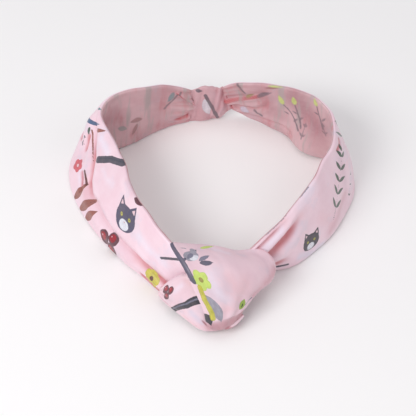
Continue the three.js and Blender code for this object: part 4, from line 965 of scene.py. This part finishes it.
INK_TONES = {
    "grey": [(166, 164, 176), (136, 134, 148)],
    "char": [(76, 76, 88), (58, 58, 70)],
    "brown": [(158, 96, 82), (136, 80, 70)],
    "teal": [(112, 150, 154), (84, 126, 132)],
    "blue": [(76, 104, 138), (58, 86, 120)],
    "maroon": [(104, 50, 62), (74, 34, 44)],
    "red": [(176, 44, 56), (140, 36, 48)],
    "coral": [(216, 100, 110), (194, 68, 80)],
    "green": [(72, 96, 78), (54, 76, 62)],
    "leafgreen": [(158, 184, 76), (132, 160, 60)],
    "navy": [(66, 66, 98), (44, 42, 70)],
    "black": [(50, 52, 62), (34, 36, 44)],
    "lime": [(208, 228, 118), (186, 210, 92)],
    "yellow": [(210, 202, 84), (182, 176, 60)],
    "limepale": [(212, 228, 148), (198, 218, 126)],
    "olive": [(168, 154, 84), (140, 134, 66)],
    "white": [(236, 236, 242), (216, 216, 226)],
    "slate": [(134, 132, 150), (110, 108, 128)],
    "slatedk": [(94, 92, 112), (72, 72, 90)],
    "dkbrown": [(108, 64, 58), (84, 50, 48)],
    "dkgreen": [(56, 74, 60), (44, 60, 52)],
    "mauve": [(196, 166, 178), (178, 148, 162)],
    "lilac": [(214, 212, 228), (190, 188, 206)],
    "blush": [(240, 208, 216), (232, 196, 204)],
    "coralpale": [(214, 158, 158), (200, 140, 142)],
    "orange": [(228, 104, 96), (206, 88, 84)],
    "inkwash": [(96, 92, 102), (72, 70, 80)],
    "brownwash": [(168, 124, 122), (150, 106, 104)],
    "tealwash": [(158, 164, 160), (136, 148, 146)],
}


def satin(name, base, tint, deep, inks, strength=1.0, rough=0.40, grey_shift=None, soft=0.13, painted_shade_streaks=None, outer=None):
    """Printed polyester satin: a fine float weave, broad soft gloss, inks with watercolour edges, a painted deeper pink
    shade in the folds, painted sheen streaks and patches of painted highlight and shade.
    """
    n = Nodes(name)
    uv = n.attr("cloth_mm").outputs["Vector"]
    broad = n.noise(uv, 0.045, 3, 0.55)
    fine = n.noise(uv, 0.6, 4, 0.6, seed=4)
    col = n.mix(n.ramp(broad, 0.35, 0.68), srgb(*base), srgb(*tint))
    col = n.mix(n.ramp(fine, 0.45, 0.8, 0, 0.10), col, srgb(*[min(255, c + 10) for c in base]))
    cool = n.noise(uv, 0.075, 3, 0.6, seed=27)
    col = n.mix(n.ramp(cool, 0.50, 0.68, 0, 0.55), col, srgb(base[0] - 20, base[1] - 6, base[2] - 2))
    # painted sheen: paler streaks along the cloth at random places
    pale = n.noise(uv, 1.0, 3, 0.6, stretch=(0.035, 0.10, 1), seed=39)
    col = n.mix(n.ramp(pale, 0.56, 0.76, 0, 0.35), col, srgb(*[min(252, c + 14) for c in base]))
    # patches of painted light mixed into the colour: pearl, lift and cool paint highlights and sheen; warm, dusk,
    # shade, deepshade and hollow paint shade
    for painted_light, tone, most in (("warm", (236, 186, 192), 0.9), ("dusk", (206, 176, 188), 0.8), ("pearl", (240, 232, 246), 0.9), ("cool", (212, 203, 219), 0.9), ("shade", (206, 150, 160), 0.9), ("deepshade", (166, 116, 124), 0.9), ("lift", (232, 186, 194), 0.9), ("hollow", (146, 50, 58), 0.95)):
        col = n.mix(n.math("MULTIPLY", n.attr("painted_light_" + painted_light).outputs["Fac"], n.ramp(fine, 0.2, 0.8, 0.7 * most, most)), col, srgb(*tone))
    # painted light: the outside half takes the face's lighter pink, the inside keeps the darker shaded base
    if outer:
        col = n.mix(n.attr("outer").outputs["Fac"], col, srgb(*outer))
    # painted shade: the colour goes towards the deep pink in the folds
    fold = n.attr("fold").outputs["Fac"]
    wavy = n.noise(uv, 0.16, 2, 0.5, seed=9)
    col = n.mix(n.math("MULTIPLY", n.ramp(fold, 0.08, 1.0, 0, 0.95), n.ramp(wavy, 0.2, 0.7, 0.72, 1.0)), col, srgb(*deep))
    if painted_shade_streaks:  # faint bands across the band: painted streaks of shade and sheen
        band = n.noise(uv, 1.0, 3, 0.6, stretch=(0.16, 0.022, 1), seed=21)
        col = n.mix(n.ramp(band, 0.50, 0.66, 0, 0.75), col, srgb(*painted_shade_streaks[0]))
        band2 = n.noise(uv, 1.0, 3, 0.6, stretch=(0.11, 0.03, 1), seed=33)
        col = n.mix(n.ramp(band2, 0.52, 0.68, 0, 0.6), col, srgb(*painted_shade_streaks[1]))
    edge = n.noise(uv, 0.9, 3, 0.6, seed=2)
    wash = n.noise(uv, 0.32, 4, 0.65, seed=6)
    streak = n.noise(uv, 1.0, 3, 0.6, stretch=(0.35, 1.6, 1), seed=3)
    for ink in INKS:
        if ink not in inks:
            continue
        a, b = INK_TONES[ink]
        d = n.math("ADD", n.attr("ink_" + ink).outputs["Fac"], n.math("MULTIPLY", n.math("SUBTRACT", edge, 0.5), 0.55))
        cover = n.ramp(d, 1.5 - soft, 1.5 + soft)
        wet = n.ramp(n.math("ADD", n.math("MULTIPLY", wash, 0.6), n.math("MULTIPLY", streak, 0.4)), 0.36, 0.66)
        tone = n.mix(wet, srgb(*a), srgb(*b))
        rim = n.math("MULTIPLY", n.math("SUBTRACT", 1.0, n.ramp(d, 1.5, 2.0)), 0.35)
        tone = n.mix(rim, tone, srgb(*[int(c * 0.86) for c in b]))
        if grey_shift:
            tone = n.mix(grey_shift, tone, srgb(*base))
        col = n.mix(n.math("MULTIPLY", cover, n.ramp(wash, 0.2, 0.8, 1.0 * strength, 0.9 * strength)), col, tone)
    n.link(col, n.p.inputs["Base Color"])
    # weave: floats across, a fine twill step, and slubs
    k = n.add("ShaderNodeMapping")
    n.link(uv, k.inputs[0])
    k.inputs["Rotation"].default_value = (0, 0, 0.42)
    thread = n.noise(k.outputs[0], 1.0, 2, 0.5, stretch=(0.6, 7.0, 1))
    wave = n.add("ShaderNodeTexWave", wave_type="BANDS", bands_direction="DIAGONAL")
    n.link(uv, wave.inputs["Vector"])
    wave.inputs["Scale"].default_value = 0.9
    wave.inputs["Distortion"].default_value = 1.2
    wave.inputs["Detail"].default_value = 2
    slub = n.noise(uv, 1.0, 3, 0.6, stretch=(0.10, 2.2, 1), seed=12)
    height = n.math("ADD", n.math("MULTIPLY", thread, 0.5), n.math("ADD", n.math("MULTIPLY", wave.outputs["Fac"], 0.25), n.math("MULTIPLY", slub, 0.35)))
    soft = n.noise(uv, 0.11, 3, 0.5, seed=15)
    b1 = n.add("ShaderNodeBump")
    b1.inputs["Strength"].default_value = 0.35
    b1.inputs["Distance"].default_value = 0.0011
    n.link(soft, b1.inputs["Height"])
    b2 = n.add("ShaderNodeBump")
    b2.inputs["Strength"].default_value = 0.10
    b2.inputs["Distance"].default_value = 0.00016
    n.link(height, b2.inputs["Height"])
    n.link(b1.outputs[0], b2.inputs["Normal"])
    n.link(b2.outputs[0], n.p.inputs["Normal"])
    n.link(n.math("ADD", n.ramp(fine, 0.3, 0.7, rough - 0.04, rough + 0.06), n.math("MULTIPLY", n.ramp(slub, 0.4, 0.8), 0.05)), n.p.inputs["Roughness"])
    n.p.inputs["Specular IOR Level"].default_value = 0.5
    n.p.inputs["Sheen Weight"].default_value = 0.10
    n.p.inputs["Sheen Roughness"].default_value = 0.35
    n.p.inputs["Sheen Tint"].default_value = (1.0, 0.93, 0.95, 1)
    n.p.inputs["Anisotropic"].default_value = 0.35
    n.p.inputs["Coat Weight"].default_value = 0.12 if rough < 0.4 else 0.03
    n.p.inputs["Coat Roughness"].default_value = 0.30
    return n.m


def thread(name, a, b):
    """Spun sewing thread: plied twist, a dull sheen."""
    n = Nodes(name)
    tc = n.add("ShaderNodeTexCoord").outputs["Object"]
    ply = n.add("ShaderNodeTexWave", wave_type="BANDS", bands_direction="DIAGONAL")
    n.link(tc, ply.inputs["Vector"])
    ply.inputs["Scale"].default_value = 900
    ply.inputs["Distortion"].default_value = 1.5
    hair = n.noise(tc, 2600, 3)
    n.link(n.mix(n.ramp(n.math("ADD", n.math("MULTIPLY", ply.outputs["Fac"], 0.6), n.math("MULTIPLY", hair, 0.4)), 0.25, 0.75), srgb(*a), srgb(*b)), n.p.inputs["Base Color"])
    bump = n.add("ShaderNodeBump")
    bump.inputs["Strength"].default_value = 0.5
    bump.inputs["Distance"].default_value = 0.0001
    n.link(ply.outputs["Fac"], bump.inputs["Height"])
    n.link(bump.outputs[0], n.p.inputs["Normal"])
    n.link(n.ramp(hair, 0.2, 0.8, 0.5, 0.72), n.p.inputs["Roughness"])
    n.p.inputs["Sheen Weight"].default_value = 0.3
    return n.m


def woven_elastic(name):
    """Braided white elastic: ribs along it, crossed fine yarns, greyed a little by wear."""
    n = Nodes(name)
    uv = n.attr("cloth_mm").outputs["Vector"]
    rib = n.add("ShaderNodeTexWave", wave_type="BANDS", bands_direction="Y")
    n.link(uv, rib.inputs["Vector"])
    rib.inputs["Scale"].default_value = 0.28
    rib.inputs["Distortion"].default_value = 0.4
    yarn = n.add("ShaderNodeTexWave", wave_type="BANDS", bands_direction="DIAGONAL")
    n.link(uv, yarn.inputs["Vector"])
    yarn.inputs["Scale"].default_value = 0.8
    yarn.inputs["Distortion"].default_value = 0.8
    worn = n.noise(uv, 0.3, 4, 0.6)
    shade = n.math("ADD", n.math("MULTIPLY", rib.outputs["Fac"], 0.6), n.math("MULTIPLY", yarn.outputs["Fac"], 0.4))
    col = n.mix(n.ramp(shade, 0.2, 0.8), srgb(206, 202, 196), srgb(244, 242, 238))
    col = n.mix(n.ramp(worn, 0.45, 0.8, 0, 0.25), col, srgb(206, 198, 190))
    n.link(col, n.p.inputs["Base Color"])
    b = n.add("ShaderNodeBump")
    b.inputs["Strength"].default_value = 0.5
    b.inputs["Distance"].default_value = 0.0003
    n.link(shade, b.inputs["Height"])
    n.link(b.outputs[0], n.p.inputs["Normal"])
    n.link(n.ramp(worn, 0.2, 0.8, 0.66, 0.86), n.p.inputs["Roughness"])
    return n.m


def inks_of(*pieces):
    """The inks these pieces' motifs use, in the order they are printed."""
    used = {row[1] for piece in pieces for row in PRINTS[piece]} | {"green", "lime", "yellow", "slatedk", "maroon", "red", "blush", "coral", "brown"}
    return [k for k in INKS if k in used]


M_FACE = satin("satin_face", (242, 214, 224), (238, 204, 215), (206, 118, 124), inks_of("left_face", "right_face"), rough=0.36)
M_KNOT = satin("satin_knot", (238, 208, 217), (230, 197, 207), (158, 66, 76), inks_of("wrap", "tuck"), rough=0.36)
# the linings and the inside of the sleeve are the same pink satin as the face; their darker, duskier base is painted
# shade
M_LINING = satin("satin_lining", (218, 182, 186), (206, 163, 169), (192, 88, 94), inks_of("left_lining", "right_lining") , strength=0.95, rough=0.5, grey_shift=0.20, soft=0.5, painted_shade_streaks=((182, 170, 168), (204, 136, 142)))
M_CASING = satin("satin_casing", (216, 176, 182), (204, 156, 163), (184, 90, 98), inks_of("casing"), outer=(238, 208, 218), strength=0.9, rough=0.46, grey_shift=0.08, soft=0.3)
M_THREAD = thread("sewing_thread", (222, 160, 170), (240, 190, 198))
M_ELASTIC = woven_elastic("braided_elastic")

# ============================================================================================
# PIECES
# ============================================================================================


def object_from(name, verts, faces, material, floats=(), vec=None, smooth_faces=True):
    """A mesh object from points in millimetres (stations' frame), with per-point attributes."""
    me = bpy.data.meshes.new(name)
    pts = (np.asarray(verts, float) + SHIFT) / 1000.0
    faces = np.asarray(faces, np.int64)
    me.vertices.add(len(pts))
    me.vertices.foreach_set("co", pts.astype(np.float32).ravel())
    k = faces.shape[1]
    me.loops.add(faces.size)
    me.loops.foreach_set("vertex_index", faces.astype(np.int32).ravel())
    me.polygons.add(len(faces))
    me.polygons.foreach_set("loop_start", np.arange(0, faces.size, k, dtype=np.int32))
    me.update(calc_edges=True)
    me.validate()
    if smooth_faces:
        me.shade_smooth()
    for key, val in dict(floats).items():
        a = me.attributes.new(key, "FLOAT", "POINT")
        a.data.foreach_set("value", np.asarray(val, np.float32).ravel())
    if vec is not None:
        a = me.attributes.new("cloth_mm", "FLOAT_VECTOR", "POINT")
        a.data.foreach_set("vector", np.asarray(vec, np.float32).ravel())
    me.materials.append(material)
    o = bpy.data.objects.new(name, me)
    bpy.context.scene.collection.objects.link(o)
    return o


def closed_faces(R, C):
    """Quads of a closed shell between two R x C grids (outer first)."""
    i, j = np.meshgrid(np.arange(R - 1), np.arange(C - 1), indexing="ij")
    a = (i * C + j).ravel()
    outer = np.stack([a, a + 1, a + C + 1, a + C], 1)
    inner = outer[:, ::-1] + R * C
    N = R * C
    r = np.arange(R - 1)
    left = np.stack([r * C, (r + 1) * C, (r + 1) * C + N, r * C + N], 1)
    right = np.stack([r * C + C - 1, r * C + C - 1 + N, (r + 1) * C + C - 1 + N, (r + 1) * C + C - 1], 1)
    c = np.arange(C - 1)
    top = np.stack([c, c + N, c + 1 + N, c + 1], 1)
    e = (R - 1) * C + c
    end = np.stack([e, e + 1, e + 1 + N, e + N], 1)
    return np.vstack([outer, inner, left, right, top, end])


def outward(verts, faces):
    v = np.asarray(verts)
    f = np.asarray(faces)
    a, b, c, d = (v[f[:, k]] for k in range(4))
    six = (a * np.cross(b, c)).sum() + (a * np.cross(c, d)).sum()
    return f if six > 0 else f[:, ::-1]


def cloth(name, P, Q, U, V, fold, pr, material, fold_shade_back=None):
    """A closed shell from an outer and an inner grid, with its print."""
    R, C = P.shape[:2]
    verts = np.vstack([P.reshape(-1, 3), Q.reshape(-1, 3)])
    verts[:, 2] = np.maximum(verts[:, 2], 0.02)
    two = lambda x: np.concatenate([x.ravel(), x.ravel()])
    # fold carries the painted fold shade
    floats = {"fold": np.clip(np.concatenate([fold.ravel(), (fold if fold_shade_back is None else fold_shade_back).ravel()]), 0, 1)}
    for k, d in pr.ink.items():
        floats["ink_" + k] = two(np.clip(d, -REACH, REACH) + REACH)
    # the soft patches of painted highlight and painted shade
    for k, d in pr.painted_light.items():
        floats["painted_light_" + k] = two(np.clip(d, 0, 1))
    vec = np.stack([two(U), two(V), np.zeros(2 * U.size)], 1)
    return object_from(name, verts, outward(verts, closed_faces(R, C)), material, floats, vec)


def shell_inner(P, n, V, W, thick):
    """The inner grid of a cloth layer: the outer one moved in by the thickness, thinner at its two long edges."""
    N = grid_normals(P, n[:, None] * np.ones(P.shape))
    t = thick * (0.35 + 0.65 * smooth(np.minimum(V, W - V), 0, 1.6))
    return P - N * t[..., None]


def tube(name, pts, radius, material, sides=8, ends_round=True):
    """A round thread through the points (mm), with rounded ends."""
    p = np.asarray(pts, float)
    d = np.gradient(p, axis=0)
    d /= np.linalg.norm(d, axis=1)[:, None] + 1e-9
    up = np.array([0.13, 0.21, 0.97])
    a = np.cross(d, up)
    a /= np.linalg.norm(a, axis=1)[:, None] + 1e-9
    b = np.cross(d, a)
    k = np.linspace(0, 2 * np.pi, sides, endpoint=False)
    r = np.full(len(p), radius, float)
    if ends_round:
        r[0] = r[-1] = radius * 0.45
    ring = p[:, None] + r[:, None, None] * (np.cos(k)[None, :, None] * a[:, None] + np.sin(k)[None, :, None] * b[:, None])
    v = ring.reshape(-1, 3)
    R = len(p)
    f = []
    for i in range(R - 1):
        for j in range(sides):
            f.append((i * sides + j, i * sides + (j + 1) % sides, (i + 1) * sides + (j + 1) % sides, (i + 1) * sides + j))
    v = np.vstack([v, p[0], p[-1]])
    c0, c1 = len(v) - 2, len(v) - 1
    for j in range(0, sides, 2):
        f.append((c0, (j + 2) % sides, (j + 1) % sides, j))
        e = (R - 1) * sides
        f.append((c1, e + j, e + (j + 1) % sides, e + (j + 2) % sides))
    return v, np.array(f)


def tubes(name, paths, radius, material):
    vs, fs, n = [], [], 0
    for p in paths:
        v, f = tube(name, p, radius, material)
        vs.append(v)
        fs.append(f + n)
        n += len(v)
    v, f = np.vstack(vs), np.vstack(fs)
    return object_from(name, v, outward(v, f), material)


CLOTH_MM = 0.42
for name, arm_, pf, pl, body in [("left", LEFT, print_left_face, print_left_lining, "left_arm"), ("right", RIGHT, print_right_face, print_right_lining, "right_arm")]:
    n = arm_["n"]
    U, V, W = arm_["U"], arm_["V"], arm_["W"]
    F, Ln = arm_["face"], arm_["lining"]
    gap = n[:, None] * 0.06
    face = cloth(name + "_arm_face", F + gap, shell_inner(F + gap, n, V, W, CLOTH_MM), U, V, arm_["fold_shade_face"], pf(U, V), M_FACE)
    lin = cloth(name + "_arm_lining", Ln - gap, shell_inner(Ln - gap, -n, V, W, CLOTH_MM), U, V, arm_["fold_shade_lining"], pl(U, V), M_LINING)
    s = arm_["strip"]
    k = int(np.abs(s.u - 14).argmin())
    j = int(np.abs(s.u - 40).argmin())
    for o, slot_, node in [(face, "face_satin", name + "_arm_face_panel"), (lin, "lining_satin", name + "_arm_lining_panel")]:
        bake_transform(o)
        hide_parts(node)

for nm, d, node, slot_, pr, flat in [
    ("knot_wrap_cloth", WRAP, "knot_wrap", "knot_satin", draw(Print(WRAP["U"], WRAP["V"]), PRINTS["wrap"]), (0.046, 0.074)),
    ("knot_tuck_cloth", TUCK, "knot_tuck", "knot_satin", draw(Print(TUCK["U"], TUCK["V"]), PRINTS["tuck"]), (0.024, 0.060)),
    ("knot_core_cloth", CORE, "knot_core", "knot_satin", Print(CORE["U"], CORE["V"]), (0.026, 0.050)),
    ("knot_foot_pleat", PLEAT, None, "knot_satin", Print(PLEAT["U"], PLEAT["V"]), (0.012, 0.014)),
]:
    o = cloth(nm, d["front"], d["back"], d["U"], d["V"], d["fold"], pr, M_KNOT)
    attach(o, "knot")
    if node:
        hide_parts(node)

# the gathered sleeve, in two halves
P, Q, U, V, side, fold = CASE
n_, m_ = P.shape[:2]
pr = print_casing(U, V, side)
cut = n_ // 2


def ring_shell(name, lo, hi):
    a, b = P[lo:hi + 1], Q[lo:hi + 1]
    r = hi - lo + 1
    verts = np.vstack([a.reshape(-1, 3), b.reshape(-1, 3)])
    verts[:, 2] = np.maximum(verts[:, 2], 0.05)
    N = r * m_
    f = []
    i, j = np.meshgrid(np.arange(r - 1), np.arange(m_), indexing="ij")
    i, j = i.ravel(), j.ravel()
    jn = (j + 1) % m_
    f.append(np.stack([i * m_ + j, i * m_ + jn, (i + 1) * m_ + jn, (i + 1) * m_ + j], 1))
    f.append(np.stack([i * m_ + j, (i + 1) * m_ + j, (i + 1) * m_ + jn, i * m_ + jn], 1) + N)
    j = np.arange(m_)
    jn = (j + 1) % m_
    f.append(np.stack([j, j + N, jn + N, jn], 1))
    e = (r - 1) * m_
    f.append(np.stack([e + j, e + jn, e + jn + N, e + j + N], 1))
    f = np.vstack(f)
    two = lambda x: np.concatenate([x[lo:hi + 1].ravel()] * 2)
    # fold is painted shade; outer marks the outside half, which the material paints lighter than the shaded inside
    floats = {"fold": np.clip(two(fold), 0, 1), "outer": smooth(two(side), 0.1, 0.6)}
    for k, d in pr.ink.items():
        floats["ink_" + k] = two(np.clip(d, -REACH, REACH) + REACH)
    # the soft patches of painted highlight and painted shade
    for k, d in pr.painted_light.items():
        floats["painted_light_" + k] = two(np.clip(d, 0, 1))
    vec = np.stack([two(U), two(V), np.zeros(2 * N)], 1)
    return object_from(name, verts, outward(verts, f), M_CASING, floats, vec)


for nm, lo, hi, body, end_x, end_y in [("elastic_casing_left", 0, cut, "left_arm", CASE_X0, 99.6), ("elastic_casing_right", cut, n_ - 1, "right_arm", CASE_X1 + 2, 104.6)]:
    o = ring_shell(nm, lo, hi)
    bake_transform(o)
    if body == "left_arm":
        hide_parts("elastic_casing")


def elastic(name, x0, x1, replace):
    R, C = 40, 61
    q = np.linspace(0, 1, R)[:, None]
    v = np.linspace(0, 1, C)[None]
    x = x0 + (x1 - x0) * q + 0 * v
    y0 = 100.2 + (x + 6.6) / 17.2 * 4.4
    z = 8.7 + 15 * v + 0 * q
    rib = 0.16 * np.abs(np.sin(np.pi * 12 * v)) + 0.05 * np.sin(x * 5 + v * 60)
    h = 0.42 * np.sqrt(np.clip(1 - (np.abs(v - 0.5) * 2) ** 10, 0, 1)) + rib
    A = np.stack([x, y0 - h, z], -1)
    B = np.stack([x, y0 + h, z], -1)
    verts = np.vstack([A.reshape(-1, 3), B.reshape(-1, 3)])
    vec = np.stack([np.concatenate([x.ravel()] * 2), np.concatenate([(15 * v + 0 * q).ravel()] * 2), np.zeros(2 * R * C)], 1)
    o = object_from(name, verts, outward(verts, closed_faces(R, C)), M_ELASTIC, {}, vec)
    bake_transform(o)
    if replace:
        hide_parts("elastic_strip")
    return o


elastic("elastic_strip_left", -6.4, 2.0, True)
elastic("elastic_strip_right", 2.0, 10.4, False)

# zigzag bartacks over the ends of the elastic
for nm, x, body in [("left", -5.3, "left_arm"), ("right", 9.3, "right_arm")]:
    y = 100.2 + (x + 6.6) / 17.2 * 4.4 - 0.78
    pts = []
    for k in range(27):
        pts.append((x + (0.8 if k % 2 else -0.8), y + (0.11 if k % 2 else -0.11), 9.6 + k * 0.5))
    o = tubes(nm + "_bartack_thread", [spline(pts, np.linspace(0, 1, 160))], 0.2, M_THREAD)
    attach(o, body)
    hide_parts(nm + "_elastic_bartack")

# running stitches that join each arm to the sleeve, on the outside of the band
for nm, arm_, body in [("left", LEFT, "left_arm"), ("right", RIGHT, "right_arm")]:
    F, N = arm_["face"], grid_normals(arm_["face"], arm_["n"][:, None] * np.ones(arm_["face"].shape))
    row = int(np.abs(arm_["strip"].u - (arm_["strip"].u[-1] - 3.2)).argmin())
    w = arm_["strip"].w[row]
    paths = []
    count = 13
    for k in range(count):
        a, b = 0.05 + 0.9 * (k + 0.12) / count, 0.05 + 0.9 * (k + 0.82) / count
        q = np.linspace(a, b, 7)
        vv = arm_["v"]
        pts = np.stack([np.interp(q, vv, F[row, :, c]) for c in range(3)], 1)
        nn = np.stack([np.interp(q, vv, N[row, :, c]) for c in range(3)], 1)
        lift = 0.16 * np.sin(np.linspace(0, np.pi, 7)) - 0.04
        paths.append(pts + nn * lift[:, None])
    o = tubes(nm + "_join_stitches", paths, 0.2, M_THREAD)
    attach(o, body)
    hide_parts(nm + "_join_stitching")

# the tack inside the knot: a few turns of thread
loops = []
for k in range(4):
    a = np.linspace(0, 2 * np.pi, 33)
    loops.append(np.stack([4 + 4.2 * np.cos(a), -49.2 + 0.9 * np.sin(a) + 0.25 * k, 14.4 + 0.45 * k + 0.35 * np.sin(a + k)], 1))
o = tubes("knot_tack_thread", loops, 0.22, M_THREAD)
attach(o, "knot")
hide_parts("knot_tack_stitch")

# ============================================================================================
# STAGE
# ============================================================================================


def plain(name, rgb, rough):
    n = Nodes(name)
    tc = n.add("ShaderNodeTexCoord").outputs["Object"]
    v = n.noise(tc, 6, 2)
    n.link(n.mix(n.ramp(v, 0.3, 0.7, 0, 0.15), srgb(*rgb), srgb(*[c - 3 for c in rgb])), n.p.inputs["Base Color"])
    n.p.inputs["Roughness"].default_value = rough
    n.p.inputs["Specular IOR Level"].default_value = 0.15
    return n.m


me = bpy.data.meshes.new("floor")
g = 6.0
me.from_pydata([(-g, -g, 0), (g, -g, 0), (g, g, 0), (-g, g, 0)], [], [(0, 1, 2, 3)])
me.materials.append(plain("floor_paper", (250, 249, 248), 0.9))
floor = bpy.data.objects.new("floor", me)
bpy.context.scene.collection.objects.link(floor)
floor.location = (0, 0, -0.0002)

world = bpy.data.worlds.new("studio")
bpy.context.scene.world = world
world.use_nodes = True
bg = world.node_tree.nodes["Background"]
bg.inputs["Color"].default_value = (0.95, 0.94, 0.98, 1)
bg.inputs["Strength"].default_value = 0.54


def area(name, at, to, size, watts, rgb=(1, 1, 1)):
    d = bpy.data.lights.new(name, "AREA")
    d.shape = "RECTANGLE"
    d.size, d.size_y = size
    d.energy = watts
    d.color = rgb
    o = bpy.data.objects.new(name, d)
    bpy.context.scene.collection.objects.link(o)
    o.location = at
    o.rotation_euler = (Vector(to) - Vector(at)).to_track_quat("-Z", "Y").to_euler()
    return o


area("key", (-0.60, -0.62, 0.80), (0, 0, 0.02), (0.7, 0.45), 6.5)
area("fill", (0.85, -0.35, 0.80), (0, 0, 0.02), (0.7, 0.7), 1.3, (1.0, 0.98, 0.98))
area("top", (0.05, 0.25, 1.2), (0, 0, 0.02), (0.7, 0.7), 1.7)

cam = bpy.data.cameras.new("camera")
cam.sensor_width = 36
cam.lens = 110.8
camera = bpy.data.objects.new("camera", cam)
bpy.context.scene.collection.objects.link(camera)
camera.location = (-0.0021, -0.5156, 0.5821)
camera.rotation_euler = (Vector((-0.0021, -0.0124, 0.020)) - camera.location).to_track_quat("-Z", "Y").to_euler()
bpy.context.scene.camera = camera
bpy.context.scene.view_settings.view_transform = "Standard"
